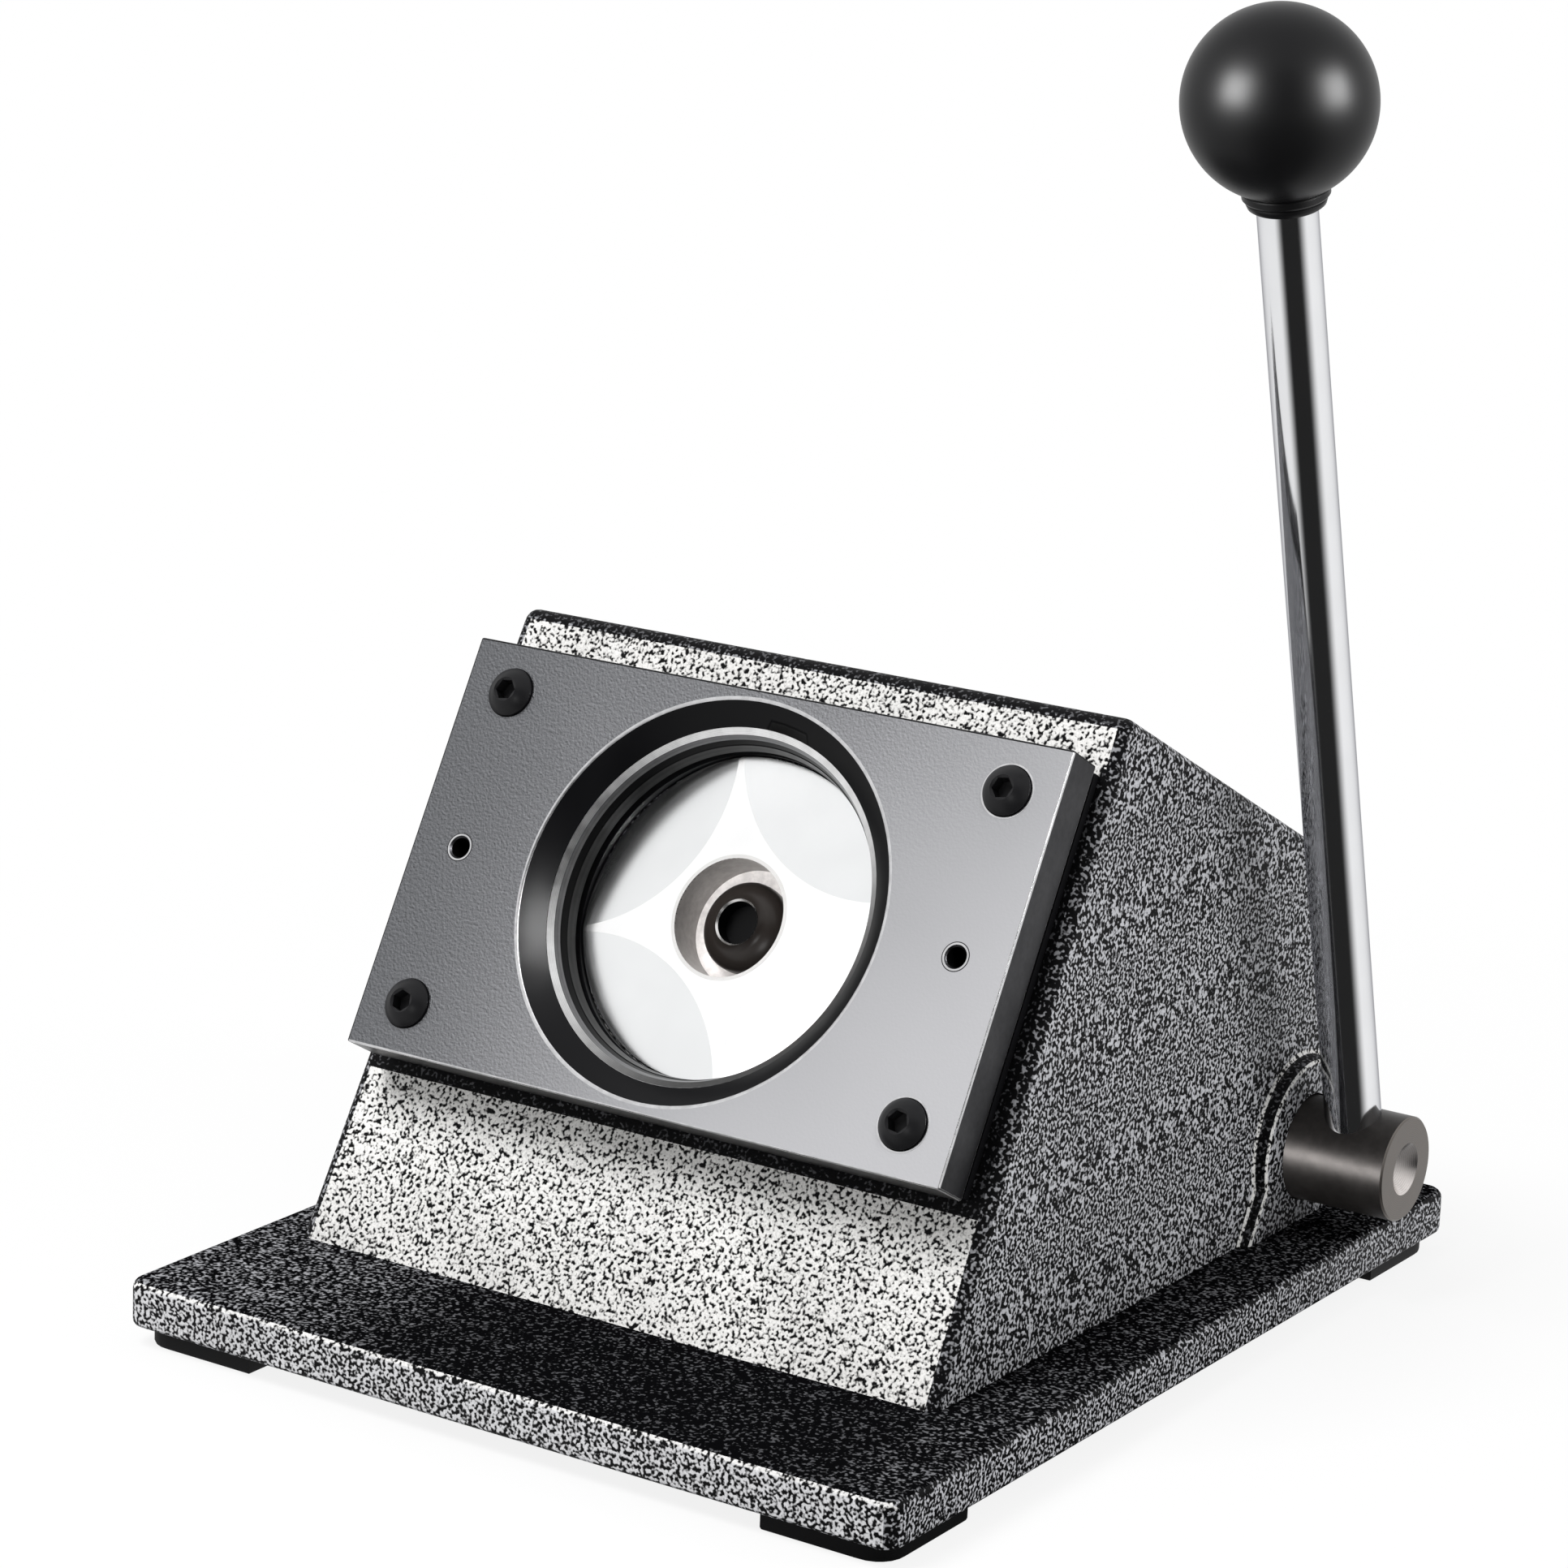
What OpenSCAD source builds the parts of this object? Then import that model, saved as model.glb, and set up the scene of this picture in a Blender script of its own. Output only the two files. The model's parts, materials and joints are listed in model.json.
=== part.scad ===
// Circle die cutter: a bench machine that cuts round paper blanks.
// A lever turns a cross shaft, whose snail cam pushes a ram and its round punch
// out through the die in the sloping front plate. A coil spring draws them back.
// Machine axes: X to the right, Y to the rear, Z up.

/* [Base] */
// Margin of the base in front of the housing
base_front = 41.8; // [25:0.2:60]
// Margin of the base behind the housing
base_rear = 13.6; // [4:0.2:30]
// Margin of the base left of the housing
base_left = 11.1; // [4:0.1:20]
// Margin of the base right of the housing, under the lever
base_right = 17.5; // [10:0.1:30]
// Thickness of the base
base_t = 10; // [8:0.5:16]
// Corner radius of the base in plan
base_corner = 4; // [3:0.5:10]
// Radius of the base's upper edges
base_edge = 2; // [0.5:0.1:2.8]

/* [Feet] */
// Width of a square rubber foot
foot_w = 28; // [20:1:40]
// Height of a foot
foot_h = 4; // [3.6:0.2:10]
// Radius of a foot's outer corner
foot_corner = 6; // [2:0.5:9]
// Distance of a foot from the edges of the base
foot_inset = 2.5; // [1:0.5:8]

/* [Housing] */
// Width of the housing at the base
housing_w = 155; // [140:0.5:200]
// Draft of each side wall, degrees
housing_draft = 1.74; // [0:0.02:3]
// Angle of the sloping front above the horizontal, degrees
face_angle = 61.1; // [58:0.1:66]
// Length of the sloping front, base to ridge
face_len = 141; // [136:0.5:170]
// Fall of the roof towards the rear, degrees
back_angle = 27.1; // [18:0.1:30]
// Wall thickness
wall = 6; // [4:0.5:8]
// Radius of the ridge
ridge_round = 3; // [1:0.5:6]
// Room behind the shaft axis, to the rear face
rear_room = 25; // [22:0.5:60]
// Height of the side bosses above the side walls
boss_proud = 2.6; // [1:0.2:6]
// Half width of a side boss at the base
boss_foot = 25; // [21:0.5:32]
// Lip of a side boss outside its bush
boss_lip = 2.5; // [1.5:0.1:4]
// Height of the lugs for the housing bolts
lug_h = 22; // [16:1:30]
// Diameter of those lugs
lug_d = 16; // [14:0.5:20]
// Diameter of the housing bolts
bolt_d = 8; // [5:1:8]

/* [Die plate] */
// Width of the die plate
plate_w = 143.4; // [138:0.2:148]
// Height of the die plate along the slope
plate_h = 89; // [86:0.5:94]
// Thickness of the die plate
plate_t = 10; // [9:0.5:14]
// Distance from the housing's foot up the slope to the plate's lower edge
plate_up = 40; // [36:0.5:44]
// Spacing of the plate screws across
screw_span_x = 120; // [116:0.5:126]
// Spacing of the plate screws up the slope
screw_span_v = 68; // [64:0.5:72]
// Diameter of the plate screws
screw_d = 6; // [4:1:6]
// Diameter of the plate screws' heads
screw_head_d = 10.2; // [9.5:0.1:12]
// Height of the plate screws' heads
screw_head_h = 3.2; // [2.4:0.1:4]
// Spacing of the two tapped holes for a paper stop
stop_span = 120; // [104:0.5:126]
// Core diameter of those holes
stop_d = 4.2; // [3.3:0.1:5]

/* [Paper slot] */
// Height of the paper slot
slot_h = 2; // [1:0.1:3]
// Thickness of the plate behind the slot
back_t = 2; // [1.5:0.1:4]
// Margin of that plate inside the die plate's outline
back_margin = 1; // [0:0.1:3]
// Diameter of the slot spacers
spacer_d = 12; // [10:0.5:14]

/* [Punch and die] */
// Diameter of the punch, which is the size of the blank
punch_d = 68; // [64:0.5:70]
// Thickness of the punch
punch_t = 16; // [14:0.5:20]
// Radial clearance of the punch in the die
die_clear = 0.05; // [0.02:0.01:0.1]
// Depth of the resting punch below the back plate's front
punch_sink = 0.2; // [0:0.1:1]
// Diameter of the throat at the plate's front
throat_d = 84; // [80:0.5:86]
// Depth of the throat's cone, down to the die ring
throat_t = 3.75; // [2:0.25:5]
// Outer diameter of the die ring
ring_d = 80; // [78:0.5:84]
// Diameter of the die ring's mouth
ring_mouth = 75.2; // [73:0.2:77]
// Length of the die's cutting land
land_t = 2.6; // [1.5:0.1:4]
// Depth of the four shear reliefs at the punch's rim
relief_t = 1.6; // [0.8:0.1:2.5]
// Distance of a relief's inner edge from the punch's axis
relief_near = 15.5; // [13.5:0.5:20]
// Width of the cusp between two reliefs at the rim
cusp_w = 1.2; // [0.4:0.2:4]
// Turn of the relief pattern, degrees
relief_turn = 15; // [0:1:90]
// Diameter of the counterbore for the punch screw
bore_d = 25; // [22:0.5:26]
// Depth of that counterbore
bore_t = 9; // [7:0.5:11]
// Diameter of the punch screw
punch_screw_d = 12; // [8:1:12]
// Diameter of the punch screw's head
punch_head_d = 20.8; // [17:0.2:21.4]
// Height of the punch screw's head
punch_head_h = 6.2; // [4:0.1:6.6]

/* [Ram] */
// Diameter of the ram
ram_d = 30; // [29:0.5:36]
// Length of the guide bush
guide_len = 30; // [20:1:34]
// Wall of the guide bush
guide_wall = 4; // [2.5:0.5:6]
// Wall of the casting round the guide bush
guide_case = 7; // [4:0.5:9]
// Wall of the casting round the punch
barrel_wall = 6.5; // [4:0.5:8]
// Thickness of the floor behind the punch
floor_t = 3; // [2:0.5:5]
// Diameter of the fork head
fork_d = 42; // [40:0.5:44]
// Width of the fork head over its flats
fork_w = 34; // [30:0.5:36]
// Solid length of the fork head in front of its slot
fork_web = 4; // [3:0.5:6]
// Length of the cheeks behind the roller's axis
fork_tail = 8; // [6:0.5:9]

/* [Spring] */
// Wire diameter of the return spring
wire_d = 3.2; // [2:0.1:3.2]
// Turns of the return spring
spring_turns = 5; // [4:0.5:5]
// Thickness of the spring seat
seat_t = 4; // [3:0.5:6]
// Length of the seat's collar inside the spring
seat_neck = 5; // [3:0.5:7]
// Wall of that collar
seat_wall = 1.2; // [1:0.1:2]

/* [Cam] */
// Travel of the punch
stroke = 8.5; // [6:0.25:9]
// Swing of the lever, degrees
lever_swing = 68; // [50:1:76]
// Working radius of the cam at rest
cam_base = 18; // [16.5:0.25:20]
// Width of the cam
cam_w = 12; // [10:0.5:14]
// Diameter of the cam's hub
hub_d = 30; // [28:0.5:31]
// Width of the hub
hub_w = 40; // [34:1:56]
// Diameter of the follower roller
roller_d = 16; // [14:0.5:18]
// Diameter of the roller's pin
pin_d = 6; // [4:0.5:8]
// Diameter of the pin through the hub and shaft
cam_pin_d = 6; // [4:0.5:7]

/* [Shaft and lever] */
// Diameter of the cross shaft
shaft_d = 22.6; // [20:0.2:23]
// Height of the shaft's axis above the base
shaft_h = 16; // [15.8:0.1:20]
// Length of the shaft outside the right boss
shaft_out = 23; // [18:0.5:30]
// Wall of the shaft's bushes
bush_wall = 3.2; // [2:0.2:4]
// Length of the shaft's bushes
bush_len = 21; // [12:0.5:26]
// Width of the set collars
collar_w = 10; // [8:0.5:14]
// Diameter of the set collars
collar_d = 31; // [29:0.5:31.2]
// Distance of the lever rod's axis from the right boss
lever_gap = 11.4; // [10:0.2:14]
// Diameter of the lever rod
rod_d = 12; // [10:0.5:14]
// Length of the lever, shaft axis to ball centre
lever_len = 237; // [180:1:300]
// Forward lean of the resting lever, degrees
lever_lean = 16; // [0:1:20]
// Depth of the rod's end below the shaft's axis
rod_seat = 8; // [6:0.5:9]
// Diameter of the ball
ball_d = 38; // [30:0.5:50]
// Diameter of the collar under the ball
neck_d = 17.2; // [16:0.2:22]
// Height of that collar
neck_h = 3.9; // [2:0.1:8]

/* [Clearances] */
// Radial clearance of running fits
run_fit = 0.05; // [0.02:0.01:0.1]
// Gap between parts that pass each other
free_gap = 0.35; // [0.3:0.05:0.6]
// Radial clearance of screws and pins in their seats
seat_fit = 0.02; // [0.01:0.01:0.05]

/* [Hidden] */
$fn = 96;

// A little more than nothing, by which cutters pass through faces
eps = 0.01;
// Reach of cutters past the solid that they cut
reach = 20;

// Places in the machine: x = 0 is the middle of the housing, y = 0 its front foot, z = 0 the base's top
face_mid = plate_up + plate_h / 2;
face_y = face_mid * cos(face_angle);
face_z = face_mid * sin(face_angle);
shaft_set = (face_z - shaft_h) / cos(face_angle);
shaft_y = face_y + shaft_set * sin(face_angle);
ridge = [face_len * cos(face_angle), face_len * sin(face_angle)];
housing_d = shaft_y + rear_room;
rear_z = ridge.y - (housing_d - ridge.x) * tan(back_angle);
boss_x = housing_w / 2 - shaft_h * tan(housing_draft) + boss_proud;
lever_x = boss_x + lever_gap;
base_w = base_left + housing_w + base_right;
base_d = base_front + housing_d + base_rear;
base_x = -housing_w / 2 - base_left;

// Levels along the punch's axis: 0 is the sloping face, positive outward
slot_n = back_t + slot_h;
front_n = slot_n + plate_t;
punch_n = back_t - punch_sink;
punch_rear = punch_n - punch_t;
floor_n = punch_rear - free_gap;
guide_front = floor_n - floor_t;
guide_rear = guide_front - guide_len;
roller_r = roller_d / 2;
pitch_r = cam_base + free_gap + roller_r;
roller_n = pitch_r - shaft_set;
slot_end = roller_n + roller_r + free_gap;
fork_front = slot_end + fork_web;
fork_rear = roller_n - fork_tail;
seat_front = fork_front + seat_t;

// Radii
punch_r = punch_d / 2;
ram_r = ram_d / 2;
guide_r = ram_r + run_fit + guide_wall;
shaft_r = shaft_d / 2;
bush_r = shaft_r + run_fit + bush_wall;
boss_r = bush_r + 4.8;
spring_in = ram_r + seat_fit + seat_wall + 0.2;
spring_r = spring_in + wire_d / 2;
seat_r = min(spring_r + wire_d / 2 + 1.5, fork_d / 2 + 1);
throat_r = throat_d / 2;

// Flats of the round ridge
ridge_steps = 8;

// Small hardware
bolt_head_d = bolt_d * 1.75;
bolt_head_h = bolt_d * 0.55;
foot_screw_d = 4;
foot_head_d = 8;
foot_head_h = 1.8;
foot_screw_len = 6;
dowel_d = 4;
dowel_len = 8;
dowel_at = 12;
dowel_in = punch_t - bore_t - 2;
dowel_end = 0.5;
spigot_d = 16;
spigot_t = 2;
clip_t = 1.2;
clip_d = pin_d + 4;
grub_d = 5;
insert_wall = 2;
insert_top = 4;

// Origin of the part: the middle of its box, on the ground under the feet
box_right = max(base_x + base_w, lever_x + ball_d / 2, boss_x + shaft_out);
origin_x = (base_x + box_right) / 2;
origin_y = base_d / 2 - base_front;
ground = -base_t - foot_h;

// Corners of the feet, and the housing bolts, in plan
feet_at = [for (x = [base_x + foot_inset + foot_w / 2, base_x + base_w - foot_inset - foot_w / 2],
                y = [-base_front + foot_inset + foot_w / 2, housing_d + base_rear - foot_inset - foot_w / 2])
           [x, y]];
lug_x = housing_w / 2 - wall - lug_d / 2 + 2;
lug_front = lug_h / tan(face_angle) + lug_d / 2 + 2;
lug_rear = shaft_y - boss_foot - lug_d / 2;
lugs_at = [for (x = [-lug_x, lug_x], y = [lug_front, lug_rear]) [x, y]];
screws_at = [for (x = [-1, 1], v = [-1, 1]) [x * screw_span_x / 2, v * screw_span_v / 2]];

// Meeting point of a line through p at angle a and a line through q at angle b
function meet(p, a, q, b) =
    let (t = ((q.x - p.x) * sin(b) - (q.y - p.y) * cos(b)) / (cos(a) * sin(b) - sin(a) * cos(b)))
    [p.x + t * cos(a), p.y + t * sin(a)];

// Moves the machine's axes into the part's frame
module placed() {
    translate([-origin_x, -origin_y, -ground]) children();
}

// Axes of the sloping face: x across, y up the slope, z outward along the punch's axis
module on_face(n = 0) {
    placed() translate([0, face_y, face_z]) rotate([face_angle, 0, 0]) translate([0, 0, n]) children();
}

// Axes of the cross shaft: z along the shaft to the right, x to the rear, y up
module on_shaft(x = 0) {
    placed() translate([x, shaft_y, shaft_h]) rotate([90, 0, 90]) children();
}

// Axes of the lever rod: z along the rod, from the shaft's axis to the ball
module on_lever(s = 0) {
    placed() translate([lever_x, shaft_y, shaft_h]) rotate([lever_lean, 0, 0]) translate([0, 0, s]) children();
}

// Half section of a slab's rounded upper edge, from the middle outward
module edge_section(w, t, r) {
    square([w - r, t]);
    square([w, t - r]);
    translate([w - r, t - r]) intersection() {
        circle(r);
        square(r);
    }
}

module edge_bar(length, w, t, r) {
    rotate([90, 0, 0]) linear_extrude(length, center = true) {
        edge_section(w, t, r);
        mirror([1, 0]) edge_section(w, t, r);
    }
}

// Slab with round corners in plan and rounded upper edges, centred on x and y
module soft_slab(w, d, t, corner, edge) {
    edge_bar(d - 2 * corner, w / 2, t, edge);
    rotate([0, 0, 90]) edge_bar(w - 2 * corner, d / 2, t, edge);
    for (x = [-1, 1], y = [-1, 1]) {
        translate([x * (w / 2 - corner), y * (d / 2 - corner), 0]) rotate_extrude() edge_section(corner, t, edge);
    }
}

module tube(outer_r, inner_r, h) {
    difference() {
        cylinder(r = outer_r, h = h);
        translate([0, 0, -eps]) cylinder(r = inner_r, h = h + 2 * eps);
    }
}

// Button-head screw with a hexagon socket: the head stands on z = 0, the shank goes down
module button_screw(d, length, head_d, head_h) {
    rim = head_h * 0.2;
    dome = (pow(head_d / 2, 2) + pow(head_h - rim, 2)) / (2 * (head_h - rim));
    socket = d * 0.37;
    difference() {
        union() {
            intersection() {
                cylinder(d = head_d, h = head_h);
                translate([0, 0, head_h - dome]) sphere(dome);
            }
            translate([0, 0, -length]) cylinder(d = d, h = length + eps);
        }
        translate([0, 0, head_h * 0.4]) cylinder(r = socket, h = head_h, $fn = 6);
    }
}

module base_plate() {
    color([0.2, 0.2, 0.21]) placed() difference() {
        translate([base_x + base_w / 2, base_d / 2 - base_front, -base_t]) {
            soft_slab(base_w, base_d, base_t, base_corner, base_edge);
        }
        for (p = lugs_at) translate([p.x, p.y, -base_t]) {
            translate([0, 0, -eps]) cylinder(r = bolt_d / 2 + free_gap, h = base_t + 2 * eps);
            translate([0, 0, -eps]) cylinder(r = bolt_head_d / 2 + free_gap, h = bolt_head_h + free_gap + eps);
        }
        for (p = feet_at) translate([p.x, p.y, -base_t - eps]) {
            cylinder(r = foot_screw_d / 2 + seat_fit, h = foot_screw_len + free_gap);
        }
    }
}

// Square outline of a foot, round only at the corner towards +x and +y
module foot_outline() {
    start = foot_w / 2 - foot_corner;
    difference() {
        square(foot_w, center = true);
        translate([start, start]) difference() {
            square(foot_corner + eps);
            circle(foot_corner);
        }
    }
}

module feet() {
    color([0.06, 0.06, 0.06]) placed() for (p = feet_at) translate([p.x, p.y, ground]) difference() {
        mirror([p.x < base_x + base_w / 2 ? 1 : 0, 0, 0]) {
            mirror([0, p.y < base_d / 2 - base_front ? 1 : 0, 0]) linear_extrude(foot_h) foot_outline();
        }
        translate([0, 0, -eps]) cylinder(r = foot_screw_d / 2 + seat_fit, h = foot_h + 2 * eps);
        translate([0, 0, -eps]) cylinder(r = foot_head_d / 2 + free_gap, h = foot_head_h + free_gap + eps);
    }
}

module foot_screws() {
    color([0.5, 0.5, 0.52]) placed() for (p = feet_at) {
        translate([p.x, p.y, ground + foot_head_h + free_gap]) rotate([180, 0, 0]) {
            button_screw(foot_screw_d, foot_h - foot_head_h - free_gap + foot_screw_len, foot_head_d, foot_head_h);
        }
    }
}

// Side view of the housing, y to the rear and z up, drawn in by an inset on each face
module housing_side(inset) {
    foot = [inset / sin(face_angle), 0];
    under_ridge = [ridge.x - inset * sin(back_angle), ridge.y - inset * cos(back_angle)];
    top = meet(foot, face_angle, under_ridge, -back_angle);
    rear = meet([housing_d - inset, 0], 90, under_ridge, -back_angle);
    // The ridge turns from the front's outward normal to the roof's
    turn = face_angle + back_angle;
    outward = 90 + (face_angle - back_angle) / 2;
    middle = top - ridge_round / cos(turn / 2) * [cos(outward), sin(outward)];
    normals = [for (i = [0:ridge_steps]) outward + turn * (0.5 - i / ridge_steps)];
    crest = [for (a = normals) middle + ridge_round * [cos(a), sin(a)]];
    polygon(concat([foot], crest, [rear, [housing_d - inset, 0]]));
}

// Front view: the walls lean in by the draft
module housing_front(inset) {
    foot = housing_w / 2 - inset;
    lean = ridge.y * tan(housing_draft);
    polygon([[-foot, 0], [foot, 0], [foot - lean, ridge.y], [lean - foot, ridge.y]]);
}

module side_prism(width) {
    rotate([90, 0, 90]) linear_extrude(width, center = true) children();
}

module front_prism() {
    translate([0, housing_d + reach, 0]) rotate([90, 0, 0]) linear_extrude(housing_d + 2 * reach) children();
}

// Tombstone outline of a side boss, round the shaft and down to the base
module boss_outline() {
    reach_d = sqrt(boss_foot * boss_foot + shaft_h * shaft_h);
    lift = atan2(shaft_h, boss_foot) + asin(boss_r / reach_d) - 90;
    touch = boss_r * [cos(lift), sin(lift)];
    intersection() {
        union() {
            circle(boss_r);
            polygon([[-boss_foot, -shaft_h], [boss_foot, -shaft_h], touch, [-touch.x, touch.y]]);
        }
        translate([-boss_foot, -shaft_h]) square([2 * boss_foot, shaft_h + boss_r]);
    }
}

module housing_shell() {
    difference() {
        intersection() {
            side_prism(housing_w) housing_side(0);
            front_prism() housing_front(0);
        }
        translate([0, 0, -eps]) intersection() {
            side_prism(housing_w) housing_side(wall);
            front_prism() housing_front(wall);
        }
    }
}

module housing() {
    inner = boss_x - bush_len;
    screw_in = screw_d * 2;
    color([0.72, 0.72, 0.73]) difference() {
        union() {
            placed() housing_shell();
            on_face(guide_front) cylinder(r = punch_r + free_gap + barrel_wall, h = -guide_front - eps);
            on_face(guide_rear) cylinder(r = guide_r + seat_fit + guide_case, h = -guide_rear - eps);
            for (p = screws_at) on_face(-screw_in - 2) translate(p) cylinder(r = screw_d, h = screw_in + 2 - eps);
            for (s = [0, 1]) mirror_x(s) on_shaft(inner) linear_extrude(bush_len) boss_outline();
            placed() for (p = lugs_at) translate(p) cylinder(d = lug_d, h = lug_h);
        }
        on_face(floor_n) cylinder(r = punch_r + free_gap, h = reach);
        on_face(guide_front - eps) cylinder(r = ram_r + free_gap, h = floor_t + reach);
        on_face(guide_rear - eps) cylinder(r = guide_r + seat_fit, h = guide_len + eps);
        for (p = screws_at) on_face(-screw_in) translate(p) cylinder(r = screw_d / 2 + seat_fit, h = reach);
        on_shaft(boss_lip - boss_x) cylinder(r = bush_r + seat_fit, h = 2 * (boss_x - boss_lip));
        on_shaft(-boss_x - reach) cylinder(r = shaft_r + free_gap, h = 2 * (boss_x + reach));
        placed() for (p = lugs_at) translate([p.x, p.y, -eps]) cylinder(r = bolt_d / 2 + seat_fit, h = lug_h - 2);
    }
}

// Mirrors the machine left to right about the middle of the housing
module mirror_x(s) {
    translate([-origin_x, 0, 0]) mirror([s, 0, 0]) translate([origin_x, 0, 0]) children();
}

module housing_bolts() {
    color([0.12, 0.12, 0.13]) placed() for (p = lugs_at) {
        translate([p.x, p.y, -base_t + bolt_head_h + free_gap]) rotate([180, 0, 0]) {
            button_screw(bolt_d, base_t - bolt_head_h - free_gap + lug_h - 4, bolt_head_d, bolt_head_h);
        }
    }
}

module back_plate() {
    w = plate_w - 2 * back_margin;
    h = plate_h - 2 * back_margin;
    color([0.1, 0.1, 0.11]) on_face() difference() {
        translate([-w / 2, -h / 2, 0]) cube([w, h, back_t]);
        translate([0, 0, -eps]) cylinder(r = punch_r + free_gap, h = back_t + 2 * eps);
        for (p = screws_at) translate([p.x, p.y, -eps]) cylinder(r = screw_d / 2 + seat_fit, h = back_t + 2 * eps);
    }
}

module slot_spacers() {
    color([0.1, 0.1, 0.11]) on_face(back_t) for (p = screws_at) {
        translate(p) tube(spacer_d / 2, screw_d / 2 + seat_fit, slot_h);
    }
}

// Half section of the hole through the die plate: the ring's seat and the throat's cone
module throat_section() {
    seat_h = plate_t - throat_t;
    polygon([[0, -eps], [ring_d / 2 + seat_fit, -eps], [ring_d / 2 + seat_fit, seat_h], [ring_mouth / 2, seat_h],
             [throat_r, plate_t], [throat_r, plate_t + reach], [0, plate_t + reach]]);
}

module die_plate() {
    color([0.5, 0.5, 0.52]) on_face(slot_n) difference() {
        translate([-plate_w / 2, -plate_h / 2, 0]) cube([plate_w, plate_h, plate_t]);
        rotate_extrude() throat_section();
        for (p = screws_at) translate([p.x, p.y, -eps]) cylinder(r = screw_d / 2 + seat_fit, h = plate_t + 2 * eps);
        for (x = [-1, 1]) translate([x * stop_span / 2, 0, -eps]) cylinder(d = stop_d, h = plate_t + 2 * eps);
    }
}

// Half section of the die ring: a bright bevel, a dark step and the cutting land
module ring_section() {
    h = plate_t - throat_t;
    land_r = punch_r + die_clear;
    step_r = land_r + 0.55;
    bevel_end = land_t + 1.1;
    polygon([[land_r, 0], [ring_d / 2, 0], [ring_d / 2, h], [ring_mouth / 2, h],
             [step_r + 0.8, bevel_end], [step_r, land_t], [land_r, land_t]]);
}

module die_ring() {
    color([0.8, 0.8, 0.8]) on_face(slot_n) rotate_extrude() ring_section();
}

module plate_screws() {
    color([0.08, 0.08, 0.09]) on_face(front_n) for (p = screws_at) translate(p) {
        button_screw(screw_d, front_n + screw_d * 2 - 1, screw_head_d, screw_head_h);
    }
}

module guide_bush() {
    color([0.72, 0.5, 0.25]) on_face(guide_rear) tube(guide_r, ram_r + run_fit, guide_len);
}

module shaft_bush() {
    on_shaft(boss_x - bush_len) tube(bush_r, shaft_r + run_fit, bush_len - boss_lip - seat_fit);
}

module left_bush() {
    color([0.72, 0.5, 0.25]) mirror_x(1) shaft_bush();
}

module right_bush() {
    color([0.72, 0.5, 0.25]) shaft_bush();
}

module drive_shaft() {
    left = boss_x + 1;
    right = boss_x + shaft_out;
    bevel = 0.8;
    centre_r = shaft_r / 2;
    color([0.36, 0.33, 0.31]) difference() {
        on_shaft(-left) {
            cylinder(r1 = shaft_r - bevel, r2 = shaft_r, h = bevel);
            translate([0, 0, bevel]) cylinder(r = shaft_r, h = left + right - 2 * bevel);
            translate([0, 0, left + right - bevel]) cylinder(r1 = shaft_r, r2 = shaft_r - bevel, h = bevel);
        }
        on_shaft(right - centre_r) cylinder(r1 = 0, r2 = centre_r + eps, h = centre_r + eps);
        on_lever(-rod_seat) cylinder(r = rod_d / 2 + seat_fit, h = shaft_d + reach);
        cam_pin_at() cylinder(r = cam_pin_d / 2 + seat_fit, h = shaft_d * 2, center = true);
    }
}

// Axis of the pin through the hub and shaft, beside the cam
module cam_pin_at() {
    on_shaft((cam_w + hub_w) / 4) rotate([0, 90, 90 + face_angle]) children();
}

// Point of the cam that meets the roller when the lever has turned by a degrees
function cam_point(a) =
    let (rate = stroke / lever_swing * 180 / PI)
    let (pitch = pitch_r + stroke * a / lever_swing)
    let (turn = 90 + face_angle - a)
    let (out = [cos(turn), sin(turn)])
    let (side = [-sin(turn), cos(turn)])
    let (normal = (pitch * out + rate * side) / sqrt(pitch * pitch + rate * rate))
    pitch * out - (roller_r + free_gap) * normal;

module cam_outline() {
    steps = 32;
    over = 6;
    fall = 22;
    hub_r = hub_d / 2;
    first = 90 + face_angle + over + fall;
    last = 90 + face_angle - lever_swing - over - fall;
    rise = [for (i = [0 : steps]) cam_point(-over + (lever_swing + 2 * over) * i / steps)];
    circle(hub_r);
    polygon(concat([[0, 0], hub_r * [cos(first), sin(first)]], rise, [hub_r * [cos(last), sin(last)]]));
}

module cam() {
    color([0.45, 0.45, 0.47]) difference() {
        union() {
            on_shaft(-cam_w / 2) linear_extrude(cam_w) cam_outline();
            on_shaft(-hub_w / 2) cylinder(d = hub_d, h = hub_w);
        }
        on_shaft(-hub_w) cylinder(r = shaft_r + seat_fit, h = 2 * hub_w);
        cam_pin_at() cylinder(r = cam_pin_d / 2 + seat_fit, h = hub_d * 2, center = true);
    }
}

module cam_pin() {
    color([0.7, 0.7, 0.72]) cam_pin_at() cylinder(d = cam_pin_d, h = hub_d - 1, center = true);
}

module set_collar() {
    on_shaft(boss_x - bush_len - free_gap - collar_w) difference() {
        tube(collar_d / 2, shaft_r + seat_fit, collar_w);
        translate([0, 0, collar_w / 2]) rotate([-90, 0, 0]) cylinder(r = grub_d / 2 + seat_fit, h = collar_d);
    }
}

module left_collar() {
    color([0.25, 0.25, 0.27]) mirror_x(1) set_collar();
}

module right_collar() {
    color([0.25, 0.25, 0.27]) set_collar();
}

module collar_screws() {
    length = collar_d / 2 - shaft_r - seat_fit - 0.3;
    color([0.12, 0.12, 0.13]) for (s = [0, 1]) mirror_x(s) {
        on_shaft(boss_x - bush_len - free_gap - collar_w / 2) rotate([-90, 0, 0]) {
            translate([0, 0, shaft_r + seat_fit]) difference() {
                cylinder(d = grub_d, h = length);
                translate([0, 0, length / 2]) cylinder(r = grub_d / 4, h = length, $fn = 6);
            }
        }
    }
}

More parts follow.
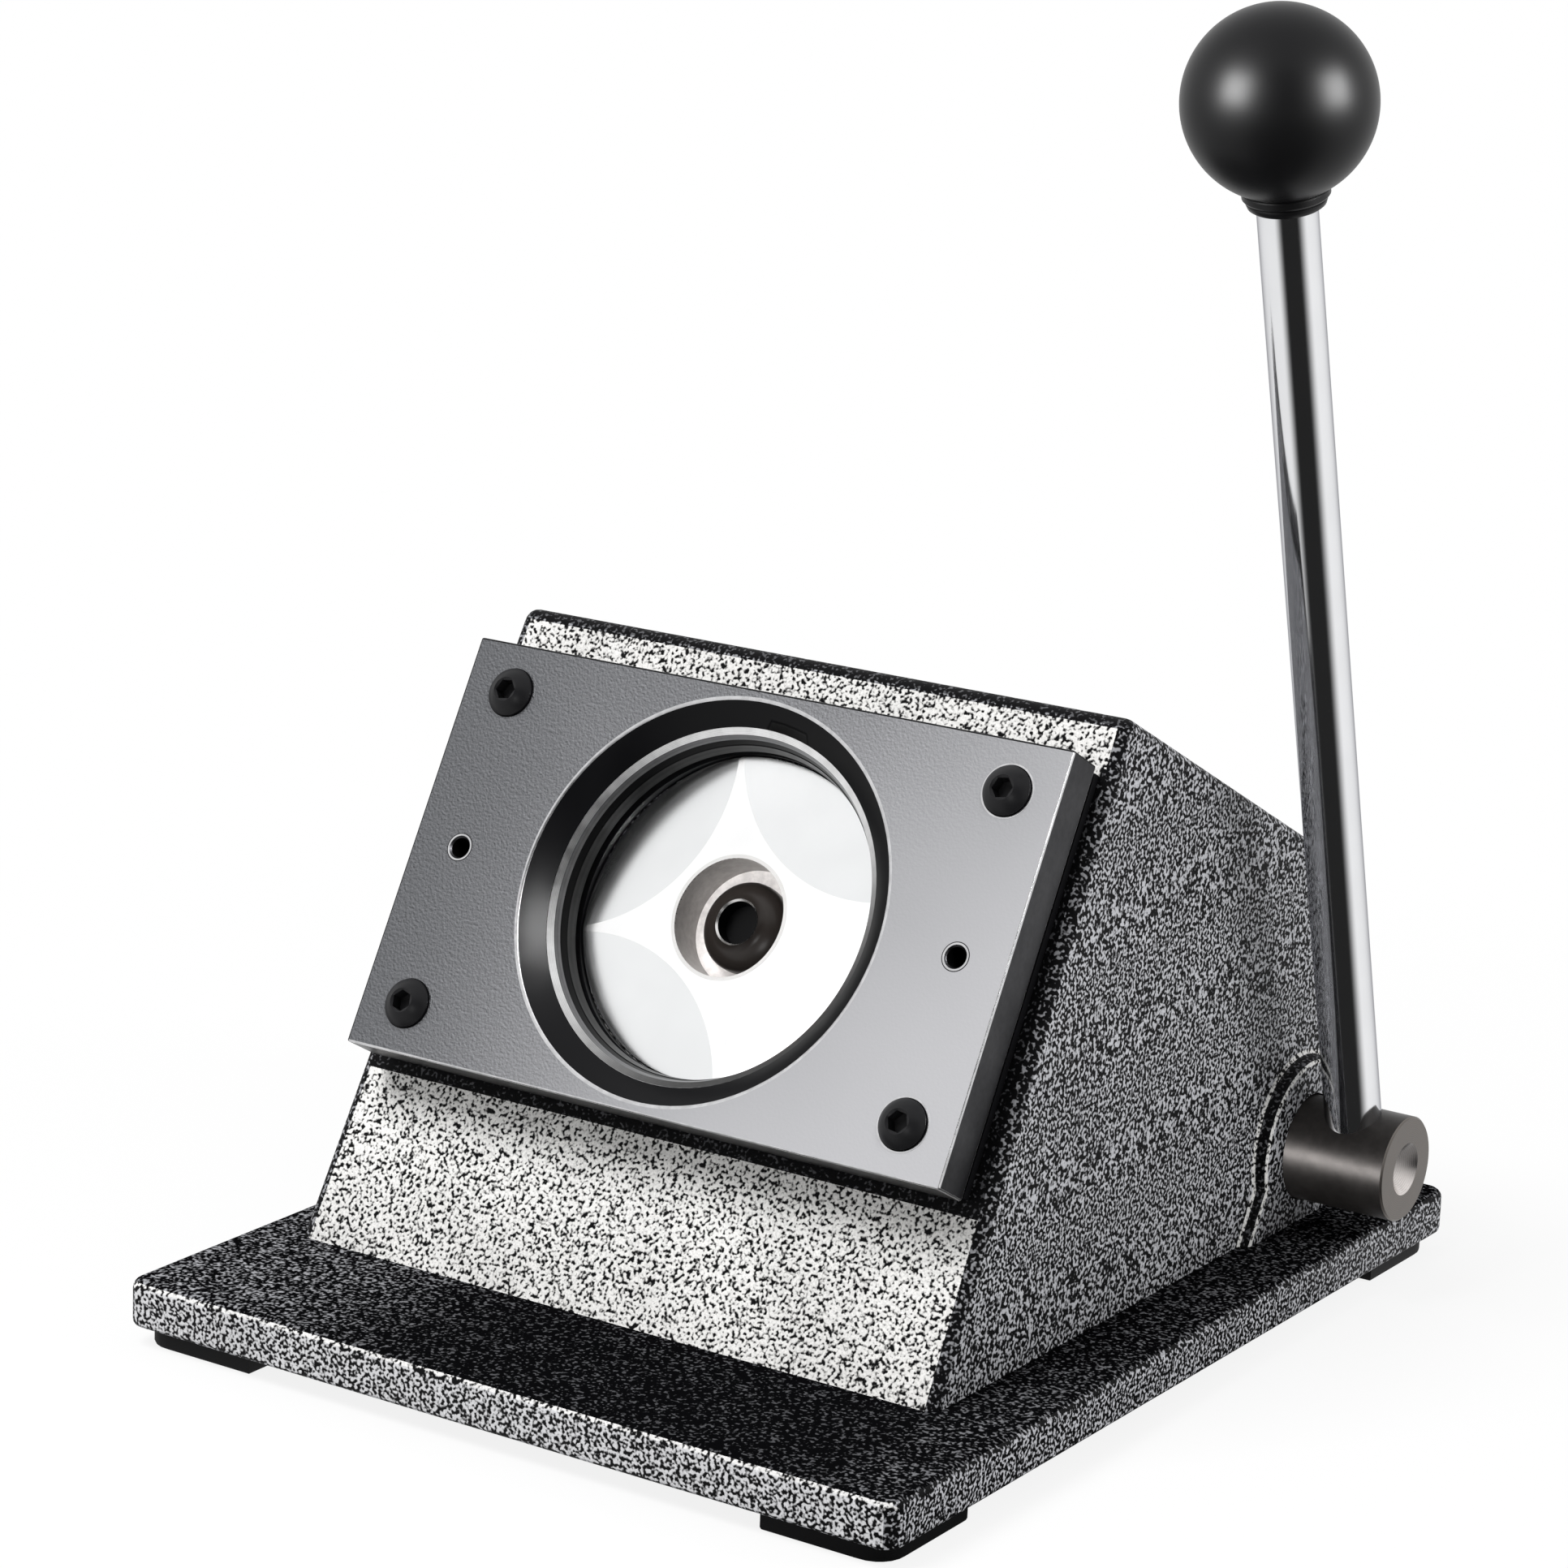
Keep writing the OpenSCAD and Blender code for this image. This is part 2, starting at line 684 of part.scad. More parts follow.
module lever_rod() {
    bevel = 1;
    top = lever_len + insert_top - 1;
    color([0.85, 0.85, 0.86]) on_lever(-rod_seat) {
        cylinder(d1 = rod_d - 2 * bevel, d2 = rod_d, h = bevel);
        translate([0, 0, bevel]) cylinder(d = rod_d, h = top + rod_seat - bevel);
    }
}

// Height of the ball's flat underside below its centre
function ball_flat() = sqrt(pow(ball_d / 2, 2) - pow(neck_d / 2, 2));

module ball_knob() {
    insert_r = rod_d / 2 + seat_fit + insert_wall;
    color([0.05, 0.05, 0.05]) on_lever(lever_len) difference() {
        sphere(d = ball_d);
        translate([0, 0, -ball_flat() - reach]) cylinder(d = ball_d, h = reach);
        translate([0, 0, -ball_d]) cylinder(r = insert_r + seat_fit, h = ball_d + insert_top);
    }
}

module knob_insert() {
    insert_r = rod_d / 2 + seat_fit + insert_wall;
    color([0.75, 0.6, 0.3]) on_lever(lever_len - ball_flat()) difference() {
        cylinder(r = insert_r, h = ball_flat() + insert_top);
        translate([0, 0, -eps]) cylinder(r = rod_d / 2 + seat_fit, h = ball_flat() + insert_top - 1 + eps);
    }
}

module knob_collar() {
    color([0.05, 0.05, 0.05]) on_lever(lever_len - ball_flat() - neck_h) {
        tube(neck_d / 2, rod_d / 2 + seat_fit, neck_h);
    }
}

module ram() {
    color([0.55, 0.55, 0.57]) on_face() difference() {
        union() {
            translate([0, 0, slot_end]) cylinder(r = ram_r, h = punch_rear - slot_end);
            translate([0, 0, punch_rear - spigot_t]) cylinder(d = spigot_d, h = 2 * spigot_t - free_gap);
            intersection() {
                translate([0, 0, fork_rear]) cylinder(d = fork_d, h = fork_front - fork_rear);
                translate([-fork_w / 2, -fork_d, fork_rear]) cube([fork_w, 2 * fork_d, fork_front - fork_rear]);
            }
        }
        translate([-cam_w / 2 - free_gap, -fork_d, fork_rear - reach]) {
            cube([cam_w + 2 * free_gap, 2 * fork_d, slot_end - fork_rear + reach]);
        }
        translate([0, 0, roller_n]) rotate([0, 90, 0]) {
            cylinder(r = pin_d / 2 + seat_fit, h = 2 * fork_d, center = true);
        }
        punch_screw_hole();
        dowel_hole();
    }
}

function punch_screw_len() = punch_t - bore_t + punch_screw_d * 1.5;

module punch_screw_hole() {
    translate([0, 0, punch_n - bore_t - punch_screw_len() - 1]) {
        cylinder(r = punch_screw_d / 2 + seat_fit, h = punch_screw_len() + bore_t);
    }
}

module dowel_hole() {
    translate([0, dowel_at, punch_rear - dowel_len - dowel_end]) {
        cylinder(r = dowel_d / 2 + seat_fit, h = dowel_len + dowel_in + 2 * dowel_end);
    }
}

// Hollow-ground relief: a large sphere whose cut on the face passes through two cusps and the inner edge
module relief() {
    half = 45 - asin(cusp_w / punch_d);
    away = (punch_r * punch_r - relief_near * relief_near) / (2 * (punch_r * cos(half) - relief_near));
    cut_r = away - relief_near;
    rim = away - punch_r;
    ball_r = (cut_r * cut_r - rim * rim) / (2 * relief_t);
    translate([away, 0, sqrt(ball_r * ball_r - cut_r * cut_r)]) sphere(ball_r);
}

module punch() {
    color([0.86, 0.86, 0.87]) on_face() difference() {
        translate([0, 0, punch_rear]) cylinder(r = punch_r, h = punch_t);
        for (i = [0 : 3]) translate([0, 0, punch_n]) rotate([0, 0, 45 + relief_turn + 90 * i]) relief();
        translate([0, 0, punch_n - bore_t]) cylinder(d = bore_d, h = reach);
        translate([0, 0, punch_rear - eps]) cylinder(r = spigot_d / 2 + seat_fit, h = spigot_t + eps);
        punch_screw_hole();
        dowel_hole();
    }
}

module punch_screw() {
    color([0.15, 0.14, 0.14]) on_face(punch_n - bore_t) {
        button_screw(punch_screw_d, punch_screw_len(), punch_head_d, punch_head_h);
    }
}

module punch_dowel() {
    color([0.7, 0.7, 0.72]) on_face(punch_rear - dowel_len) translate([0, dowel_at, 0]) {
        cylinder(d = dowel_d, h = dowel_len + dowel_in);
    }
}

module spring_seat() {
    color([0.3, 0.3, 0.32]) on_face(fork_front) {
        tube(seat_r, ram_r + seat_fit, seat_t);
        tube(ram_r + seat_fit + seat_wall, ram_r + seat_fit, seat_t + seat_neck);
    }
}

// Centre line of the spring, from the seat at 0 to the guide at 1
function spring_point(t, low, high) =
    [spring_r * cos(360 * spring_turns * t), spring_r * sin(360 * spring_turns * t), low + (high - low) * t];

module return_spring() {
    sides = 8;
    rings = ceil(spring_turns * 16);
    wire_r = wire_d / 2;
    low = seat_front + wire_r + 0.05;
    high = guide_rear - wire_r - 0.05;
    points = [for (i = [0 : rings])
              let (c = spring_point(i / rings, low, high), a = 360 * spring_turns * i / rings)
              for (k = [0 : sides - 1])
              let (b = 360 * (k + 0.5) / sides)
              c + wire_r * [cos(a) * cos(b), sin(a) * cos(b), sin(b)]];
    sleeve = [for (i = [0 : rings - 1], k = [0 : sides - 1])
              let (m = (k + 1) % sides, p = i * sides)
              each [[p + k, p + sides + k, p + m], [p + m, p + sides + k, p + sides + m]]];
    caps = [for (k = [1 : sides - 2])
            each [[0, k, k + 1], [rings * sides, rings * sides + k + 1, rings * sides + k]]];
    color([0.6, 0.6, 0.62]) on_face() polyhedron(points, concat(sleeve, caps));
}

module cam_roller() {
    color([0.75, 0.75, 0.77]) on_face(roller_n) rotate([0, 90, 0]) translate([0, 0, -cam_w / 2]) {
        tube(roller_r, pin_d / 2 + run_fit, cam_w);
    }
}

module roller_pin() {
    color([0.65, 0.65, 0.67]) on_face(roller_n) rotate([0, 90, 0]) {
        cylinder(d = pin_d, h = fork_w + 4 * clip_t, center = true);
    }
}

module roller_clips() {
    color([0.2, 0.2, 0.22]) for (s = [0, 1]) mirror_x(s) on_face(roller_n) rotate([0, 90, 0]) {
        translate([0, 0, fork_w / 2]) tube(clip_d / 2, pin_d / 2 + seat_fit, clip_t);
    }
}

base_plate();
feet();
foot_screws();
housing();
housing_bolts();
back_plate();
slot_spacers();
die_plate();
die_ring();
plate_screws();
guide_bush();
left_bush();
right_bush();
drive_shaft();
cam();
cam_pin();
left_collar();
right_collar();
collar_screws();
lever_rod();
ball_knob();
knob_insert();
knob_collar();
ram();
punch();
punch_screw();
punch_dowel();
spring_seat();
return_spring();
cam_roller();
roller_pin();
roller_clips();
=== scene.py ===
"""Looks of a bench circle die cutter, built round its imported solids."""

import json
import math

import bmesh
import bpy
from mathutils import Matrix, Vector


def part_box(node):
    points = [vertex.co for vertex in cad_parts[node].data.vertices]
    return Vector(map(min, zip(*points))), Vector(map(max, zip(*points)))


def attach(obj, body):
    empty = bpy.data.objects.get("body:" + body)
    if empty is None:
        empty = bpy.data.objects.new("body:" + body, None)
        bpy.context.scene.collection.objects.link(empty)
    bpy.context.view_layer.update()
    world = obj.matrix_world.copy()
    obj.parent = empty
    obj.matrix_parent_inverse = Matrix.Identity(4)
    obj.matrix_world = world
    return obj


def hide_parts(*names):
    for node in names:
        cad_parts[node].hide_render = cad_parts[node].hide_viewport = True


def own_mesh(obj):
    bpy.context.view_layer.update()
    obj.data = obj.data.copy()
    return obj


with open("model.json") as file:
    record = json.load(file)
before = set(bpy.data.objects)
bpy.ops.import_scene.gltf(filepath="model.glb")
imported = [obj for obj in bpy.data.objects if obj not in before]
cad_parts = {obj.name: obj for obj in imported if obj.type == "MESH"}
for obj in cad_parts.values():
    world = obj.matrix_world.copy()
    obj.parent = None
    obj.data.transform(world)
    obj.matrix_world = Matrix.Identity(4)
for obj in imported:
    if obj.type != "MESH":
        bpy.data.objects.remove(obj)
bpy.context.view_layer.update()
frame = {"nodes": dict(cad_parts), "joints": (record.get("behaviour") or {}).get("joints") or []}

bl_info = {
    "name": "Circle die cutter",
    "version": (1, 0, 0),
    "blender": (4, 5, 0),
    "location": "View3D > Sidebar > Die cutter",
    "description": "Dresses the solids of a bench circle die cutter with finished surfaces",
    "category": "Object",
}

MM = 0.001
ACROSS = Vector((1, 0, 0))
UPRIGHT = Vector((0, 0, 1))
JOINTS = {joint["name"]: joint for joint in frame["joints"]}
# The punch leaves the sloping face along OUT, and UP runs up the slope
OUT = Vector(JOINTS["punch_slide"]["axis"]).normalized()
UP = OUT.cross(ACROSS).normalized()
SLOPE = tuple(Matrix((ACROSS, UP, OUT)).transposed().to_euler())
SHAFT = Vector(JOINTS["lever_swing"]["pos_m"])


def middle_of(node):
    low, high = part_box(node)
    return (low + high) / 2


PLATE = middle_of("die_plate")
KNOB = middle_of("ball_knob")
BASE_LOW, BASE_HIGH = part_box("base_plate")

# Forms of the solids that the pieces are fitted to, in millimetres from the plate's middle
PLATE_HALF = (71.7, 44.5, 5.0)
FRONT = PLATE_HALF[2]
THROAT, THROAT_RIM = 42.0, 42.5
STOP_AT, STOP_HOLE = 60.0, 2.1
HOUSING_FACE = -9.0
# The same from the middle of the shaft
HOUSING_HALF, HOUSING_DRAFT = 77.5, math.radians(1.74)
BOSS_REACH, BOSS_BORE = 34.0, 16.0
# Places nearer than this are the same
NEAR = 0.02
# Most that a screw's socket is turned, in radians
SOCKET_TURN = 1.05


def length(name, description, default, low, high):
    """A length that a user may change, given in millimetres."""
    return bpy.props.FloatProperty(
        name=name, description=description, default=default * MM, min=low * MM, max=high * MM, unit="LENGTH")


def tint(name, description, default):
    """A colour that a user may change."""
    return bpy.props.FloatVectorProperty(
        name=name, description=description, default=default, size=3, min=0, max=1, subtype="COLOR")


class DieCutterSizes(bpy.types.PropertyGroup):
    """Sizes of the dressed pieces"""

    face_edge: length("Housing edge", "Radius of the housing's cast edges", 2.4, 0.5, 4)
    boss_edge: length("Boss edge", "Radius of the side bosses' rims", 1.1, 0.3, 2)
    base_foot_edge: length("Base lower edge", "Radius of the base's lower edges", 1.4, 0.3, 2)
    plate_edge: length("Plate edge", "Width of the die plate's broken edges", 0.45, 0.1, 1)
    stop_mouth: length("Stop hole mouth", "Width of the bevel round a stop hole", 0.35, 0.1, 1)
    screw_head: length("Screw head", "Diameter of a plate screw's head", 10.2, 8, 12)
    screw_height: length("Screw head height", "Height of a plate screw's head", 3.2, 2, 4)
    screw_across: length("Screw spacing across", "Spacing of the screws across the plate", 120, 100, 130)
    screw_along: length("Screw spacing along", "Spacing of the screws up the slope", 68, 50, 78)
    rod: length("Rod", "Diameter of the lever rod", 12, 6, 20)
    ball: length("Ball", "Diameter of the ball on the lever", 38, 20, 60)
    collar: length("Collar", "Diameter of the collar under the ball", 17.2, 14, 30)
    pit_spacing: length("Pit spacing", "Spacing of the dark pits in the hammer paint", 0.76, 0.5, 6)
    seed: bpy.props.IntProperty(
        name="Seed", description="Seed for the turn of each screw's socket", default=4)


class DieCutterColours(bpy.types.PropertyGroup):
    """Colours of the finishes"""

    # The three grounds are one hammer paint with painted light and shade: lit, half shaded and in shade
    paint_in_light: tint("Silver paint", "Ground of the hammer paint on the faces in the light", (0.92, 0.91, 0.89))
    paint_half_shaded: tint("Slate paint", "Ground of the hammer paint on the side faces", (0.57, 0.575, 0.605))
    paint_in_shade: tint("Soot paint", "Ground of the hammer paint on the base's top", (0.085, 0.086, 0.092))
    pit: tint("Pit", "Floor of the paint's pits", (0.003, 0.003, 0.0035))
    # The plate runs from blued steel at its upper left to a painted reflection at its lower right
    plate_dark: tint("Plate, dark end", "Blued steel at the plate's upper left", (0.13, 0.133, 0.141))
    plate_painted_light: tint("Plate, light end", "Rubbed steel at the plate's lower right", (0.5, 0.5, 0.517))
    shaft: tint("Shaft", "Oiled steel of the cross shaft", (0.032, 0.029, 0.0275))
    shaft_end: tint("Shaft end", "Turned end of the cross shaft", (0.17, 0.155, 0.143))
    ball: tint("Ball", "Moulded ball and its collar", (0.004, 0.004, 0.0047))


def sizes():
    return bpy.context.scene.die_cutter_sizes


def colours():
    return bpy.context.scene.die_cutter_colours


# Node trees


def add(tree, kind, values=None, **settings):
    """A node with its settings, and its inputs set or linked."""
    made = tree.nodes.new(kind)
    for key, value in settings.items():
        setattr(made, key, value)
    for key, value in (values or {}).items():
        socket = made.inputs[key]
        if isinstance(value, bpy.types.NodeSocket):
            tree.links.new(value, socket)
        elif isinstance(value, tuple) and len(value) == 3 and socket.type == "RGBA":
            socket.default_value = (*value, 1)
        else:
            socket.default_value = value
    return made


def math_node(tree, operation, first, second=0.0, third=0.0):
    return add(tree, "ShaderNodeMath", {0: first, 1: second, 2: third}, operation=operation).outputs[0]


def vector_node(tree, operation, first, second=(0.0, 0.0, 0.0)):
    made = add(tree, "ShaderNodeVectorMath", {0: first, 1: second}, operation=operation)
    return made.outputs["Value" if operation in ("DOT_PRODUCT", "LENGTH") else 0]


def scaled(tree, vector, factor):
    """A colour or vector times a factor."""
    return add(tree, "ShaderNodeVectorMath", {0: vector, "Scale": factor}, operation="SCALE").outputs[0]


def between(tree, value, low, high, low_out=0.0, high_out=1.0):
    """A smooth step of a value, clamped to its end values."""
    values = {"Value": value, "From Min": low, "From Max": high, "To Min": low_out, "To Max": high_out}
    return add(tree, "ShaderNodeMapRange", values, interpolation_type="SMOOTHSTEP").outputs[0]


def blend(tree, share, first, second):
    """A mix of two colours."""
    made = add(tree, "ShaderNodeMix", data_type="RGBA")
    for socket, value in ((made.inputs[0], share), (made.inputs[6], first), (made.inputs[7], second)):
        if isinstance(value, bpy.types.NodeSocket):
            tree.links.new(value, socket)
        else:
            socket.default_value = (*value, 1)
    return made.outputs[2]


def shades(colour, low, high):
    """A darker and a lighter shade of a colour."""
    return [tuple(min(1.0, c * share) for c in colour) for share in (low, high)]


def object_place(tree):
    return add(tree, "ShaderNodeTexCoord").outputs["Object"]


def noise(tree, place, scale, detail=2.0, roughness=0.5):
    values = {"Vector": place, "Scale": scale, "Detail": detail, "Roughness": roughness}
    return add(tree, "ShaderNodeTexNoise", values).outputs["Fac"]


def empty_material(name):
    material = bpy.data.materials.new(name)
    material.use_nodes = True
    material.node_tree.nodes.clear()
    return material, material.node_tree


def new_finish(name):
    """A material with its tree and its shader."""
    material, tree = empty_material(name)
    shader = add(tree, "ShaderNodeBsdfPrincipled")
    add(tree, "ShaderNodeOutputMaterial", {"Surface": shader.outputs[0]})
    return material, tree, shader


def set_inputs(tree, shader, **values):
    """Sets or links the shader's inputs by their names in small letters."""
    names = {socket.name.lower().replace(" ", "_"): socket for socket in reversed(shader.inputs)}
    for key, value in values.items():
        if isinstance(value, bpy.types.NodeSocket):
            tree.links.new(value, names[key])
        elif names[key].type == "RGBA":
            names[key].default_value = (*value, 1)
        else:
            names[key].default_value = value


def bump(tree, height, distance, strength=1.0):
    values = {"Height": height, "Distance": distance, "Strength": strength}
    return add(tree, "ShaderNodeBump", values).outputs[0]


def hammer_paint(name, specular, painted_lift=0.0):
    """Hammer paint: a pale skin drawn into dark pits, with painted light and shade by each face's lit
    attribute.

    Painted_lift is painted light that lifts the base's left end, and its right end by half as much.
    """
    material, tree, shader = new_finish(name)
    hue = colours()
    place = object_place(tree)
    spacing = sizes().pit_spacing
    grain = noise(tree, place, 1 / spacing, 0.7, 0.5)
    lit = add(tree, "ShaderNodeAttribute", attribute_name="lit").outputs["Fac"]
    if painted_lift:
        across = add(tree, "ShaderNodeSeparateXYZ", {0: place}).outputs[0]
        left_end = between(tree, across, BASE_LOW.x + 20 * MM, BASE_LOW.x + 90 * MM, painted_lift, 0.0)
        right_end = between(tree, across, BASE_HIGH.x - 24 * MM, BASE_HIGH.x - 10 * MM, 0.0, painted_lift / 2)
        lit = math_node(tree, "ADD", lit, math_node(tree, "ADD", left_end, right_end))
    # The pits of a face with more painted light are smaller, and where painted light lifts the ends they are
    # softer too
    soft = 0.45 if painted_lift else 0.0
    low = math_node(tree, "MULTIPLY_ADD", lit, -0.21 - 0.27 * soft, 0.555)
    width = math_node(tree, "MULTIPLY_ADD", lit, 0.05 + soft, 0.145)
    above = math_node(tree, "SUBTRACT", grain, low)
    skin = between(tree, math_node(tree, "DIVIDE", above, width), 0.0, 1.0)
    cloud = noise(tree, place, 40.0, 2.0)
    flake = noise(tree, place, 1.7 / spacing, 2.0, 0.6)
    # The ground goes from the paint in shade to the paint in light by the painted light
    ground = blend(tree, between(tree, lit, 0.0, 0.5), hue.paint_in_shade, hue.paint_half_shaded)
    ground = blend(tree, between(tree, lit, 0.5, 1.0), ground, hue.paint_in_light)
    shade = math_node(tree, "ADD", between(tree, flake, 0.28, 0.72, 0.84, 1.1),
                      between(tree, cloud, 0.3, 0.7, -0.06, 0.06))
    tone = blend(tree, skin, hue.pit, scaled(tree, ground, shade))
    height = math_node(tree, "MULTIPLY_ADD", flake, 0.35, skin)
    set_inputs(tree, shader, base_color=tone, roughness=between(tree, skin, 0.0, 1.0, 0.6, 0.36),
               metallic=0.0, specular_ior_level=specular, normal=bump(tree, height, 0.22 * MM, 0.6))
    return material


def plate_finish(name):
    """Blued steel plate with a painted reflection from dark at its upper left to light at its lower right,
    and a fine orange peel.
    """
    material, tree, shader = new_finish(name)
    hue = colours()
    place = object_place(tree)
    offset = vector_node(tree, "SUBTRACT", place, PLATE)
    across = vector_node(tree, "DOT_PRODUCT", offset, ACROSS)
    down = vector_node(tree, "DOT_PRODUCT", offset, -UP)
    down = math_node(tree, "MULTIPLY", down, between(tree, across, -70 * MM, 30 * MM, 0.05, 0.9))
    cloud = noise(tree, place, 30.0, 2.0)
    run = math_node(tree, "MULTIPLY_ADD", cloud, 20 * MM, math_node(tree, "ADD", across, down))
    painted_shading = between(tree, run, -75 * MM, 115 * MM)
    tone = blend(tree, painted_shading, hue.plate_dark, hue.plate_painted_light)
    # The peel's tone is painted relief shading, lit from the upper right, and it fades out towards the
    # painted reflection at the light end; its height is also a bump
    peel_size = 1700.0
    beside = vector_node(tree, "ADD", place, (ACROSS * 0.5 + UP * 0.85) * 0.16 * MM)
    peel_with_painted_relief = math_node(tree, "SUBTRACT", *(noise(tree, spot, peel_size, 1.0) for spot in (place, beside)))
    peel_with_painted_relief = math_node(tree, "MULTIPLY", peel_with_painted_relief, between(tree, painted_shading, 0.05, 0.8, 1.0, 0.05))
    tone = scaled(tree, tone, math_node(tree, "MULTIPLY_ADD", peel_with_painted_relief, 2.2, 1.0))
    set_inputs(tree, shader, base_color=tone, metallic=0.85, specular_ior_level=0.3,
               roughness=between(tree, cloud, 0.3, 0.7, 0.28, 0.31), normal=bump(tree, peel_with_painted_relief, 0.25 * MM, 0.8))
    return material


def steel(name, colour, roughness, spread=0.05, scale=400.0, lift=0.02, metallic=1.0):
    """Worked steel: a metal with a little cloud in its tone, roughness and surface."""
    material, tree, shader = new_finish(name)
    place = object_place(tree)
    cloud = noise(tree, place, scale, 3.0, 0.6)
    wear = noise(tree, place, scale * 0.12, 2.0)
    tone = blend(tree, between(tree, cloud, 0.3, 0.7), *shades(colour, 0.86, 1.1))
    set_inputs(tree, shader, base_color=tone, metallic=metallic,
               roughness=between(tree, wear, 0.3, 0.7, max(0.02, roughness - spread), roughness + spread),
               normal=bump(tree, cloud, lift * MM, 0.3))
    return material


def ground_steel(name, colour, roughness, edge=(1.0, 1.0, 1.0)):
    """Finely ground or plated steel: an even tone with a trace of cloud and grain.

    Edge is its tint at a glancing view.
    """
    material, tree, shader = new_finish(name)
    place = object_place(tree)
    cloud = noise(tree, place, 90.0, 2.0)
    grain = noise(tree, place, 2400.0, 2.0)
    tone = blend(tree, between(tree, cloud, 0.3, 0.7), *shades(colour, 0.985, 1.015))
    set_inputs(tree, shader, base_color=tone, metallic=1.0, specular_tint=edge,
               roughness=between(tree, cloud, 0.3, 0.7, roughness * 0.95, roughness * 1.05),
               normal=bump(tree, grain, 0.002 * MM, 0.1))
    return material


def turned_steel(name, colour, roughness, centre, axis, pitch, painted_shading=None):
    """Steel turned on a lathe: fine rings about an axis, with a pitch in millimetres.

    Painted_shading is painted light and shade to one side: a direction, two places along it and the shades
    there.
    """
    material, tree, shader = new_finish(name)
    place = object_place(tree)
    offset = vector_node(tree, "SUBTRACT", place, centre)
    along = vector_node(tree, "DOT_PRODUCT", offset, axis)
    radius = vector_node(tree, "LENGTH", vector_node(tree, "SUBTRACT", offset, scaled(tree, axis, along)))
    blur = noise(tree, place, 260.0, 3.0, 0.6)
    turn = math_node(tree, "MULTIPLY", radius, 2 * math.pi / (pitch * MM))
    rings = math_node(tree, "SINE", math_node(tree, "MULTIPLY_ADD", blur, 2.0, turn))
    streak = between(tree, math_node(tree, "MULTIPLY_ADD", rings, 0.12, blur), 0.25, 0.75)
    tone = blend(tree, streak, *shades(colour, 0.84, 1.12))
    if painted_shading:
        side = vector_node(tree, "DOT_PRODUCT", offset, painted_shading[0])
        tone = scaled(tree, tone, between(tree, side, *painted_shading[1:]))
    set_inputs(tree, shader, base_color=tone, metallic=1.0,
               roughness=between(tree, blur, 0.3, 0.7, roughness - 0.05, roughness + 0.05),
               normal=bump(tree, rings, 0.01 * MM, 0.25))
    return material


def moulded(name, colour, roughness, specular, scale=900.0, lift=0.01):
    """Moulded plastic, rubber or blackened steel: a near black skin with a faint grain."""
    material, tree, shader = new_finish(name)
    place = object_place(tree)
    grain = noise(tree, place, scale, 2.0)
    cloud = noise(tree, place, 60.0, 2.0)
    tone = blend(tree, between(tree, cloud, 0.1, 0.9), *shades(colour, 0.92, 1.08))
    set_inputs(tree, shader, base_color=tone, metallic=0.0, specular_ior_level=specular,
               roughness=between(tree, cloud, 0.1, 0.9, roughness - 0.015, roughness + 0.015),
               normal=bump(tree, grain, lift * MM, 0.3))
    return material


